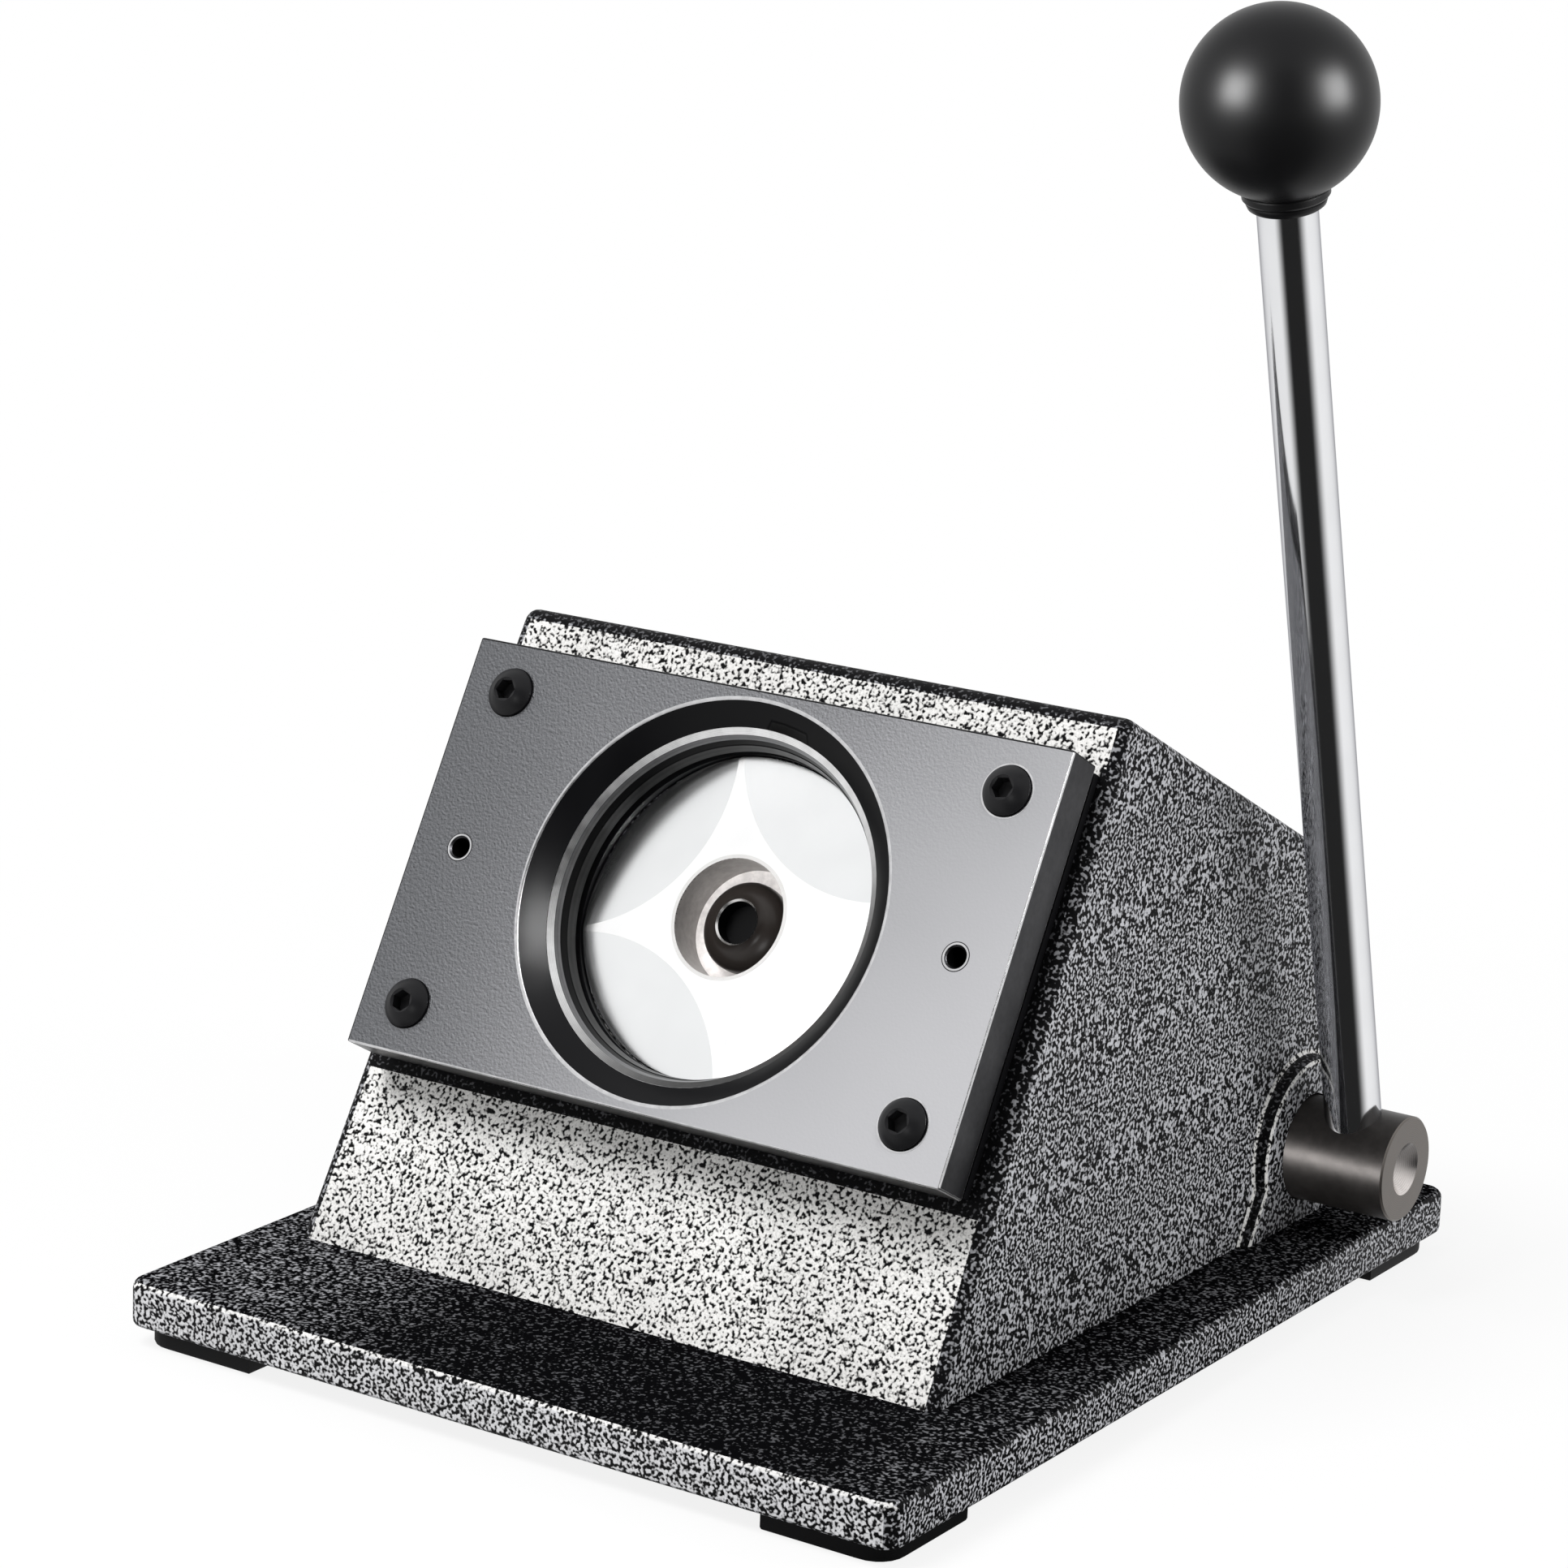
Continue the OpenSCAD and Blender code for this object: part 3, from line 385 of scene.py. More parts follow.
def finish_rules():
    """The maker of each finish, and what it is given after the name."""
    hue = colours()
    # Painted shading: the ring's bevel lighter to its upper left, and a painted highlight on the lower front
    # of the shaft's centre
    ring_painted_shading = (UP * 0.8 - ACROSS * 0.6, -34 * MM, 8 * MM, 0.12, 1.0)
    centre_painted_shading = (Vector((0, -0.5, -0.85)), -3 * MM, 3 * MM, 0.5, 2.0)
    return {
        "hammer_paint": (hammer_paint, 0.1),
        "base_top_paint": (hammer_paint, 0.0, 0.3),
        "plate_steel": (plate_finish,),
        "plate_edge": (steel, (0.62, 0.62, 0.63), 0.28, 0.05, 400.0, 0.01),
        "plate_side": (steel, (0.04, 0.04, 0.043), 0.36, 0.05, 700.0, 0.03),
        "throat_black": (moulded, (0.0018, 0.0018, 0.0022), 0.295, 0.12, 700.0, 0.008),
        "ring_steel": (turned_steel, (0.62, 0.62, 0.63), 0.2, PLATE, OUT, 0.25),
        # Copies of the ring's steel in painted highlight, painted half shade and painted shade
        "ring_bright": (turned_steel, (0.82, 0.82, 0.82), 0.33, PLATE, OUT, 0.3, ring_painted_shading),
        "ring_grey": (turned_steel, (0.22, 0.22, 0.225), 0.35, PLATE, OUT, 0.3),
        "ring_land": (turned_steel, (0.05, 0.05, 0.05), 0.35, PLATE, OUT, 0.3),
        "punch_steel": (ground_steel, (0.985, 0.985, 0.985), 0.2),
        # A darker copy of the punch's steel, painted shade on its hollows
        "punch_hollow": (ground_steel, (0.86, 0.87, 0.875), 0.2),
        # Pale finishes as painted highlight on the bore's mouth and the socket's rim, and as painted light on
        # the bore's floor
        "bore_mouth": (ground_steel, (0.8, 0.79, 0.78), 0.25),
        "bore_floor": (steel, (0.9, 0.86, 0.84), 0.35, 0.04, 600.0, 0.01, 0.0),
        "bore_steel": (steel, (0.26, 0.245, 0.235), 0.35, 0.04, 600.0, 0.01, 0.2),
        "black_screw": (moulded, (0.010, 0.010, 0.011), 0.36, 0.16, 1200.0, 0.015),
        "punch_screw_steel": (moulded, (0.02, 0.016, 0.014), 0.3, 0.3, 1200.0, 0.012),
        "plain_screw": (steel, (0.55, 0.55, 0.57), 0.3),
        "back_steel": (moulded, (0.006, 0.006, 0.007), 0.5, 0.15, 900.0, 0.02),
        "shaft_steel": (steel, tuple(hue.shaft), 0.4, 0.04, 500.0, 0.01, 0.8),
        "shaft_end": (turned_steel, tuple(hue.shaft_end), 0.42, SHAFT, ACROSS, 0.4),
        "centre_steel": (turned_steel, (0.33, 0.31, 0.3), 0.25, SHAFT, ACROSS, 0.3, centre_painted_shading),
        "cam_steel": (steel, (0.42, 0.42, 0.44), 0.3),
        "rod_chrome": (ground_steel, (0.84, 0.845, 0.86), 0.11, (0.42, 0.42, 0.44)),
        "ball_plastic": (moulded, tuple(hue.ball), 0.37, 0.16),
        "rubber": (moulded, (0.005, 0.005, 0.0055), 0.62, 0.12, 1500.0, 0.05),
        "bronze": (turned_steel, (0.55, 0.36, 0.17), 0.32, SHAFT, ACROSS, 0.4),
        "brass_insert": (steel, (0.68, 0.5, 0.22), 0.28),
        "spring_steel": (steel, (0.5, 0.5, 0.52), 0.25, 0.05, 800.0),
    }


FINISHES = {}


def finish(name):
    """The finish of that name, made the first time that it is asked for."""
    if name not in FINISHES:
        maker, *values = finish_rules()[name]
        FINISHES[name] = maker(name, *values)
    return FINISHES[name]


# Meshes


def cad_copy(node, join=True):
    """A welded copy of a CAD node's mesh, with its flat areas joined."""
    shape = bmesh.new()
    shape.from_mesh(frame["nodes"][node].data)
    for face in shape.faces:
        face.material_index = 0
    bmesh.ops.remove_doubles(shape, verts=shape.verts, dist=3e-6)
    if join:
        bmesh.ops.dissolve_limit(shape, angle_limit=math.radians(0.4), verts=shape.verts, edges=shape.edges)
    shape.normal_update()
    return shape


def break_edges(shape, chosen, width, segments=3, material=-1):
    """Rounds the edges that a test picks."""
    edges = [edge for edge in shape.edges if edge.is_manifold and chosen(edge)]
    if not edges:
        raise RuntimeError("no edge to round")
    bmesh.ops.bevel(shape, geom=edges, offset=width, offset_type="OFFSET", segments=segments, profile=0.5,
                    affect="EDGES", clamp_overlap=False, material=material)
    shape.normal_update()


def middle(edge):
    return (edge.verts[0].co + edge.verts[1].co) / 2


def on_plate(point):
    """A point in the plate's own axes: across, up the slope and outward, in millimetres."""
    away = (point - PLATE) / MM
    return away.dot(ACROSS), away.dot(UP), away.dot(OUT)


def node_on_plate(node):
    """The points of a CAD node in the plate's own axes."""
    return [on_plate(vertex.co) for vertex in frame["nodes"][node].data.vertices]


def around_shaft(point):
    """A point's place along the shaft and its distance from the axis, in millimetres."""
    away = (point - SHAFT) / MM
    return away.x, math.hypot(away.y, away.z)


def turns(steps):
    return [2 * math.pi * k / steps for k in range(steps)]


def bridge(shape, rows):
    """Joins rows of as many points each, every row to the next."""
    for low, high in zip(rows, rows[1:]):
        for k in range(len(low)):
            m = (k + 1) % len(low)
            shape.faces.new((low[k], low[m], high[m], high[k]))


def lathe(profile, centre, axis, side, steps=96, finishes=(), shape=None):
    """A turned form about an axis, from pairs of radius and height in millimetres.

    Finishes holds one finish for each stretch, and a shape that is given is added to.
    """
    shape = shape or bmesh.new()
    other = axis.cross(side)
    rows, made = [], []
    for radius, height in profile:
        level = centre + axis * height * MM
        if radius < 1e-6:
            rows.append([shape.verts.new(level)])
            continue
        rows.append([shape.verts.new(level + (side * math.cos(t) + other * math.sin(t)) * radius * MM)
                     for t in turns(steps)])
    if profile[0] == profile[-1] and profile[0][0] > 0:
        bmesh.ops.delete(shape, geom=rows[-1], context="VERTS")
        rows[-1] = rows[0]
    for k, (low, high) in enumerate(zip(rows, rows[1:])):
        for j in range(steps):
            m = j + 1
            ring = [low[j % len(low)], low[m % len(low)], high[m % len(high)], high[j % len(high)]]
            face = shape.faces.new([v for i, v in enumerate(ring) if v not in ring[:i]])
            face.material_index = finishes[k] if finishes else 0
            made.append(face)
    bmesh.ops.recalc_face_normals(shape, faces=made)
    return shape


def hex_screw(head_d, head_h, shank_d, shank_l, socket_r):
    """A button-head screw that stands on z = 0, with a hexagon socket, in millimetres."""
    shape = bmesh.new()

    def ring(radius, height, hexed=False):
        row = []
        for t in turns(48):
            wedge = (t % (math.pi / 3)) - math.pi / 6
            r = socket_r * math.cos(math.pi / 6) / math.cos(wedge) if hexed else radius
            row.append(shape.verts.new((r * math.cos(t) * MM, r * math.sin(t) * MM, height * MM)))
        return row

    half, shank, rim = head_d / 2, shank_d / 2, head_h * 0.2
    dome = (half * half + (head_h - rim) ** 2) / (2 * (head_h - rim))
    lip, chamfer, edge = socket_r * 1.13, 0.5, 0.25

    def crown(r):
        return head_h - dome + math.sqrt(dome * dome - r * r)

    rows = [ring(shank - chamfer, -shank_l), ring(shank, -shank_l + chamfer), ring(shank, 0.0),
            ring(half - edge, 0.0), ring(half, edge), ring(half, rim)]
    for k in range(1, 9):
        r = half + (lip - half) * k / 8
        rows.append(ring(r, crown(r)))
    deep = -0.15 * head_h
    rows += [ring(lip, crown(lip) - edge, True), ring(lip, deep, True), ring(socket_r * 0.55, deep - 0.15)]
    bridge(shape, rows)
    for row in (rows[0], rows[-1]):
        shape.faces.new(row)
    bmesh.ops.recalc_face_normals(shape, faces=shape.faces)
    return shape


def foot_block(wide, tall, corner=6.0, edge=0.7):
    """A square rubber foot with one round corner and a countersunk hole, in millimetres."""
    shape = bmesh.new()
    count, half = 64, wide / 2
    head, head_deep, shank = 4.35, 2.15, 2.02

    def outline(inset, height):
        row = []
        for t in turns(count):
            x, y = math.cos(t), math.sin(t)
            reach = (half - inset) / max(abs(x), abs(y))
            x, y = x * reach, y * reach
            start, r = half - corner, corner - inset
            if x > start and y > start:
                swing = math.atan2(y - start, x - start)
                x, y = start + r * math.cos(swing), start + r * math.sin(swing)
            row.append(shape.verts.new((x * MM, y * MM, height * MM)))
        return row

    def circle(radius, height):
        return [shape.verts.new((radius * math.cos(t) * MM, radius * math.sin(t) * MM, height * MM))
                for t in turns(count)]

    rows = [outline(0.0, tall), outline(0.0, edge), outline(edge * 0.3, edge * 0.3), outline(edge, 0.0),
            circle(head + 0.35, 0.0), circle(head, 0.35), circle(head, head_deep), circle(shank, head_deep),
            circle(shank, tall)]
    bridge(shape, rows + rows[:1])
    bmesh.ops.recalc_face_normals(shape, faces=shape.faces)
    return shape


def smooth(mesh, angle=35.0):
    for polygon in mesh.polygons:
        polygon.use_smooth = True
    mesh.set_sharp_from_angle(angle=math.radians(angle))


def make_piece(shape, name, body, node, finishes, angle=35.0, weigh=True):
    """Turns a shape into a piece that stands for a CAD node and rides on its body."""
    mesh = bpy.data.meshes.new(name)
    shape.to_mesh(mesh)
    shape.free()
    for key in finishes:
        mesh.materials.append(finish(key))
    smooth(mesh, angle)
    piece = bpy.data.objects.new(name, mesh)
    bpy.context.scene.collection.objects.link(piece)
    if weigh:
        weighted = piece.modifiers.new("Even shading", "WEIGHTED_NORMAL")
        weighted.keep_sharp = True
        weighted.weight = 80
    return dress(piece, body, node)


def dress(piece, body, node):
    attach(piece, body)
    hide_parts(node)
    return piece


def light_faces(piece, rule):
    """Writes each face's painted light, from 0 for painted shade to 1 for full light."""
    lit = piece.data.attributes.new("lit", "FLOAT", "FACE")
    lit.data.foreach_set("value", [rule(polygon) for polygon in piece.data.polygons])


def finish_node(node, name):
    """Gives a CAD node that stays a finish."""
    mesh = frame["nodes"][node].data
    mesh.materials.clear()
    mesh.materials.append(finish(name))


# Repeats


def new_tree(name, inputs):
    """A geometry tree with its named inputs, and their sockets."""
    tree = bpy.data.node_groups.new(name, "GeometryNodeTree")
    tree.interface.new_socket("Geometry", in_out="OUTPUT", socket_type="NodeSocketGeometry")
    for label, kind in inputs.items():
        tree.interface.new_socket(label, in_out="INPUT", socket_type="NodeSocket" + kind)
    return tree, add(tree, "NodeGroupInput").outputs


def end_tree(tree, given, shape):
    """Puts a tree's shape in its place, as a plain painted mesh."""
    tilt = add(tree, "FunctionNodeEulerToRotation", {0: given["Tilt"]})
    placed = add(tree, "GeometryNodeTransform", {
        "Geometry": shape, "Translation": given["Place"], "Rotation": tilt.outputs[0]})
    plain = add(tree, "GeometryNodeRealizeInstances", {0: placed.outputs[0]})
    painted = add(tree, "GeometryNodeSetMaterial", {
        "Geometry": plain.outputs[0], "Material": given["Finish"]})
    add(tree, "NodeGroupOutput", {0: painted.outputs[0]})
    return tree


def four_corner_tree():
    """A tree that sets one piece at the four corners of a rectangle, each with its own turn."""
    tree, given = new_tree("Four corners", {
        "Piece": "Object", "Across": "Float", "Along": "Float", "Place": "Vector", "Tilt": "Vector",
        "Turn": "Float", "Outward": "Bool", "Seed": "Int", "Finish": "Material"})
    grid = add(tree, "GeometryNodeMeshGrid", {
        "Size X": given["Across"], "Size Y": given["Along"], "Vertices X": 2, "Vertices Y": 2})
    chance = add(tree, "FunctionNodeRandomValue", {"Seed": given["Seed"]}, data_type="FLOAT")
    tree.links.new(given["Turn"], chance.inputs[3])
    place = add(tree, "ShaderNodeSeparateXYZ", {0: add(tree, "GeometryNodeInputPosition").outputs[0]}).outputs
    heading = math_node(tree, "ARCTAN2", math_node(tree, "SIGN", place[1]), math_node(tree, "SIGN", place[0]))
    heading = math_node(tree, "SUBTRACT", heading, math.pi / 4)
    heading = math_node(tree, "MULTIPLY_ADD", heading, given["Outward"], chance.outputs[1])
    spin = add(tree, "ShaderNodeCombineXYZ", {"Z": heading})
    spin = add(tree, "FunctionNodeEulerToRotation", {0: spin.outputs[0]})
    source = add(tree, "GeometryNodeObjectInfo", {"Object": given["Piece"]})
    copies = add(tree, "GeometryNodeInstanceOnPoints", {
        "Points": grid.outputs[0], "Instance": source.outputs["Geometry"], "Rotation": spin.outputs[0]})
    return end_tree(tree, given, copies.outputs[0])


def spring_tree():
    """A tree that winds a round wire into a coil spring."""
    tree, given = new_tree("Coil spring", {
        "Turns": "Float", "Radius": "Float", "Length": "Float", "Wire": "Float",
        "Place": "Vector", "Tilt": "Vector", "Finish": "Material"})
    coil = add(tree, "GeometryNodeCurveSpiral", {
        "Resolution": 40, "Rotations": given["Turns"], "Start Radius": given["Radius"],
        "End Radius": given["Radius"], "Height": given["Length"]})
    section = add(tree, "GeometryNodeCurvePrimitiveCircle", {"Resolution": 16, "Radius": given["Wire"]})
    wire = add(tree, "GeometryNodeCurveToMesh", {
        "Curve": coil.outputs[0], "Profile Curve": section.outputs[0], "Fill Caps": True})
    return end_tree(tree, given, wire.outputs[0])


def grow(name, tree, values):
    """Runs a tree and returns its result as a plain mesh object."""
    carrier = bpy.data.objects.new(name, bpy.data.meshes.new(name + "_start"))
    bpy.context.scene.collection.objects.link(carrier)
    modifier = carrier.modifiers.new("Tree", "NODES")
    modifier.node_group = tree
    for item in tree.interface.items_tree:
        if item.in_out == "INPUT" and item.name in values:
            modifier[item.identifier] = values[item.name]
    bpy.context.view_layer.update()
    seen = carrier.evaluated_get(bpy.context.evaluated_depsgraph_get())
    mesh = bpy.data.meshes.new_from_object(seen, depsgraph=bpy.context.evaluated_depsgraph_get())
    carrier.modifiers.remove(modifier)
    carrier.data = mesh
    mesh.name = name
    smooth(mesh)
    return carrier


def four(name, shape, spread, place, tilt, turn, key, node, outward=False):
    """Sets a shape at four corners of the frame and lets the result stand for a CAD node."""
    mesh = bpy.data.meshes.new(name + "_one")
    shape.to_mesh(mesh)
    shape.free()
    source = bpy.data.objects.new(name + "_one", mesh)
    tree = bpy.data.node_groups.get("Four corners") or four_corner_tree()
    piece = grow(name, tree, {
        "Piece": source, "Across": spread[0], "Along": spread[1], "Place": place, "Tilt": tilt,
        "Turn": turn, "Outward": outward, "Seed": sizes().seed, "Finish": finish(key)})
    bpy.data.objects.remove(source)
    return dress(piece, "frame", node)


def rectangle_of(node):
    """Spacing and middle of the four solids of a node, and one solid's own width."""
    points = [vertex.co for vertex in frame["nodes"][node].data.vertices]
    low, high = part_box(node)
    centre = (low + high) / 2
    left = [p for p in points if p.x < centre.x and p.y < centre.y]
    wide = max(p.x for p in left) - min(p.x for p in left)
    deep = max(p.y for p in left) - min(p.y for p in left)
    return (high.x - low.x - wide, high.y - low.y - deep), centre, wide


def screws_from_below(name, node, key, head_d, head_h, shank_d, socket_r):
    """Four screws that point up into the base, with sizes in millimetres."""
    spread, centre, wide = rectangle_of(node)
    low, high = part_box(node)
    screw = hex_screw(head_d, head_h, shank_d, (high.z - low.z) / MM - head_h, socket_r)
    place = (centre.x, centre.y, low.z + head_h * MM)
    four(name, screw, spread, place, (math.pi, 0, 0), SOCKET_TURN, key, node)


# Operators


class DIECUTTER_OT_base(bpy.types.Operator):
    """Base plate with broken edges and hammer paint"""

    bl_idname = "die_cutter.base"
    bl_label = "Base plate"

    def execute(self, context):
        shape = cad_copy("base_plate")
        top = 0.75

        def lower_edge(edge):
            point = middle(edge)
            level = abs(edge.verts[0].co.z - edge.verts[1].co.z) < 1e-6
            inside = min(point.x - BASE_LOW.x, BASE_HIGH.x - point.x,
                         point.y - BASE_LOW.y, BASE_HIGH.y - point.y)
            return abs(point.z - BASE_LOW.z) < 1e-5 and level and inside < 1.2 * MM

        break_edges(shape, lower_edge, sizes().base_foot_edge, 4)
        for face in shape.faces:
            face.material_index = 1 if face.normal.z > top else 0
        piece = make_piece(shape, "base", "frame", "base_plate",
                           ["hammer_paint", "base_top_paint"])

        def painted_light_by_face(polygon):
            """Painted light by face: painted shade on top, half shade on the sides, lighter in front, and a
            painted highlight along the front's upper edge.
            """
            normal = polygon.normal
            if normal.z > top:
                return 0.0
            if normal.y < -0.9:
                return 0.68
            if normal.y < -0.5 and normal.z > 0.2:
                return 0.85
            return 0.45 if abs(normal.x) > 0.9 else 0.3

        light_faces(piece, painted_light_by_face)
        return {"FINISHED"}


class DIECUTTER_OT_feet(bpy.types.Operator):
    """Rubber feet and the screws that hold them"""

    bl_idname = "die_cutter.feet"
    bl_label = "Feet"

    def execute(self, context):
        spread, centre, wide = rectangle_of("feet")
        low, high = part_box("feet")
        four("feet_rubber", foot_block(wide / MM, (high.z - low.z) / MM), spread, (centre.x, centre.y, low.z),
             (0, 0, 0), 0.0, "rubber", "feet", True)
        screws_from_below("foot_screw_set", "foot_screws", "plain_screw", 8.0, 1.8, 4.0, 1.48)
        return {"FINISHED"}


class DIECUTTER_OT_housing(bpy.types.Operator):
    """Cast housing with rounded edges, side bosses and hammer paint"""

    bl_idname = "die_cutter.housing"
    bl_label = "Housing"

    def execute(self, context):
        shape = cad_copy("housing")
        low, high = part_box("housing")
        foot = low.z + 0.01 * MM
        boss_out = (high.x - SHAFT.x) / MM
        # A boss has an upright face, and the drafted sides lean a little from it
        upright, leaning, sideways = 0.9999, 0.99, 0.9

        def turned(edge, least, most=2.0):
            """How many of an edge's faces look sideways by between two shares."""
            return sum(least < abs(face.normal.x) < most for face in edge.link_faces)

        def boss_rim(edge):
            point = middle(edge)
            out, radius = around_shaft(point)
            at_face = abs(abs(out) - boss_out) < NEAR
            return turned(edge, upright) == 1 and at_face and radius > BOSS_BORE and point.z > foot

        def boss_foot(edge):
            point = middle(edge)
            out, radius = around_shaft(point)
            hollow = edge.calc_face_angle_signed(0.0) < -0.5
            return (turned(edge, leaning, upright) == 1 and hollow and abs(out) > 70
                    and point.z > foot and radius < BOSS_REACH)

        def outer_edge(edge):
            point = middle(edge)
            if point.z < foot or edge.calc_face_angle_signed(0.0) < 0.3:
                return False
            lean = (point.z - low.z) / MM * math.tan(HOUSING_DRAFT)
            at_side = abs(abs(point.x - SHAFT.x) / MM - (HOUSING_HALF - lean)) < 0.05
            if turned(edge, sideways) == 1 and at_side:
                return True
            rear = sum(face.normal.y > 0.99 for face in edge.link_faces)
            return rear == 1 and abs(point.y - high.y) < 1e-5

        break_edges(shape, boss_foot, 1.2 * MM, 4)
        break_edges(shape, boss_rim, sizes().boss_edge, 4)
        break_edges(shape, outer_edge, sizes().face_edge, 5)

        # The plate stands off the front, so a painted shadow goes on the paint beside it and in a strip below
        # it
        beside = PLATE_HALF[0] - 1.0
        strip_low, strip_high, above = -PLATE_HALF[1] - 2.2, -PLATE_HALF[1] + 1.0, PLATE_HALF[1] + 0.7
        facing_out = 0.999

        def on_front(face):
            depth = on_plate(face.calc_center_median())[2]
            return face.normal.dot(OUT) > facing_out and abs(depth - HOUSING_FACE) < 0.05

        for axis, place in ((ACROSS, beside), (UP, strip_low), (UP, strip_high), (UP, above)):
            faces = [face for face in shape.faces if on_front(face)]
            parts = {part for face in faces for part in (face, *face.edges, *face.verts)}
            bmesh.ops.bisect_plane(shape, geom=list(parts), plane_co=PLATE + axis * place * MM,
                                   plane_no=axis, dist=1e-6)
        shape.normal_update()
        piece = make_piece(shape, "housing_casting", "frame", "housing", ["hammer_paint"])

        def painted_light_by_face(polygon):
            out, radius = around_shaft(polygon.center)
            side = abs(polygon.normal.x)
            if abs(out) > 75 and radius < BOSS_REACH and polygon.center.y < high.y - sizes().face_edge:
                # The boss has a face in painted half shade, a flank in painted shade and a painted highlight
                # along its rim and its foot
                return 0.5 if side > 0.999 else 1.0 if side > 0.6 else 0.1
            # The sides are in painted half shade
            if side > sideways:
                return 0.5
            u, v, n = on_plate(polygon.center)
            facing = polygon.normal.dot(OUT)
            if facing < facing_out:
                # Painted shade behind, along the ridge, and on the rounded edges of the front
                return 0.4 if facing < 0.1 else 0.05 if polygon.normal.z > 0.6 else 0.25
            # Painted shadow beside and below the plate, and full painted light on the rest of the front
            dark = strip_low < v < (above if u > beside else strip_high)
            return 0.0 if dark else 1.0

        light_faces(piece, painted_light_by_face)
        screws_from_below("housing_bolt_set", "housing_bolts", "black_screw", 14.0, 4.4, 8.0, 2.96)
        return {"FINISHED"}


class DIECUTTER_OT_die(bpy.types.Operator):
    """Die plate, die ring, the plate behind the slot and the screws that hold them"""

    bl_idname = "die_cutter.die"
    bl_label = "Die plate"

    def execute(self, context):
        size = sizes()
        self.plate(size)
        # The ring's steel in painted light and shade: from the cutting land in painted shade, out over a
        # black step of painted shade, a grey flank of painted half shade and a bright bevel of painted
        # highlight, and back under the plate
        section = [(34.35, -5.0), (34.9, -2.7), (35.1, -2.5), (35.6, -1.0), (36.2, 0.45), (37.55, 1.15),
                   (40.0, 1.15), (40.0, -5.0), (34.35, -5.0)]
        ring = lathe(section, PLATE, OUT, ACROSS, 160, (3, 2, 2, 1, 0, 4, 4, 4))
        make_piece(ring, "cutting_ring", "frame", "die_ring",
                   ["ring_bright", "ring_grey", "throat_black", "ring_land", "ring_steel"], 25, weigh=False)
        finish_node("back_plate", "back_steel")
        finish_node("slot_spacers", "back_steel")
        screw = hex_screw(size.screw_head / MM, size.screw_height / MM, 6.0, 25.0, 2.3)
        four("plate_screw_set", screw, (size.screw_across, size.screw_along), tuple(PLATE + OUT * FRONT * MM),
             SLOPE, SOCKET_TURN, "black_screw", "plate_screws")
        return {"FINISHED"}

    def plate(self, size):
        """The plate with its broken edges, and a thin lip round each screw and stop hole."""
        face_steel, edge_steel, black, side_steel = range(4)
        shape = cad_copy("die_plate")
        for face in shape.faces:
            u, v, n = on_plate(face.calc_center_median())
            facing = face.normal.dot(OUT)
            if math.hypot(u, v) < THROAT + 0.1 and abs(facing) < 0.95:
                face.material_index = black
            elif facing < 0.9:
                face.material_index = side_steel

        def outline(edge):
            place = on_plate(middle(edge))
            return sum(abs(abs(at) - half) < NEAR for at, half in zip(place, PLATE_HALF)) >= 2

        def on_circle(point, radius, x=0.0):
            """Whether a point is on a circle of the front face, about the middle or about x to both sides."""
            u, v, n = on_plate(point)
            return abs(n - FRONT) < NEAR and abs(math.hypot(abs(u) - x, v) - radius) < 0.1

        for vertex in shape.verts:
            if on_circle(vertex.co, THROAT):
                u, v, n = on_plate(vertex.co)
                vertex.co += (ACROSS * u + UP * v) * MM * (THROAT_RIM / THROAT - 1)
        shape.normal_update()
        break_edges(shape, outline, size.plate_edge, 2, edge_steel)
        # Broken edges that face up or left get the black finish as painted shade, and the rest keep the
        # bright edge finish as a painted highlight
        for face in shape.faces:
            shaded = face.normal.dot(UP) > 0.3 or face.normal.dot(ACROSS) < -0.3
            if face.material_index == edge_steel and shaded:
                face.material_index = black
        break_edges(shape, lambda edge: on_circle(middle(edge), THROAT_RIM), 0.4 * MM, 2, edge_steel)
        break_edges(shape, lambda edge: on_circle(middle(edge), STOP_HOLE, STOP_AT),
                    size.stop_mouth, 1, side_steel)
        under, level, crest = FRONT - 0.1, FRONT + 0.02, FRONT + 0.03
        for x in (-STOP_AT, STOP_AT):
            lip = [(2.5, under), (2.5, level), (2.85, crest), (3.05, level), (3.1, under), (2.5, under)]
            finishes = (edge_steel, edge_steel, side_steel, side_steel, side_steel)
            lathe(lip, PLATE + ACROSS * x * MM, OUT, ACROSS, 48, finishes, shape)
        seat = size.screw_head / MM / 2
        # Each screw's lip has a black inner ring, a painted shade round the head
        lip = [(seat - 0.3, under), (seat - 0.3, level), (seat + 0.25, level), (seat + 0.6, crest),
               (seat + 0.7, under), (seat - 0.3, under)]
        for x in (-0.5, 0.5):
            # The lips at the plate's light end get the bright edge finish as a painted highlight
            outer = edge_steel if x > 0 else face_steel
            for y in (-0.5, 0.5):
                spot = PLATE + ACROSS * x * size.screw_across + UP * y * size.screw_along
                lathe(lip, spot, OUT, ACROSS, 64, (black, black, outer, outer, outer), shape)
        make_piece(shape, "plate", "frame", "die_plate",
                   ["plate_steel", "plate_edge", "throat_black", "plate_side"])


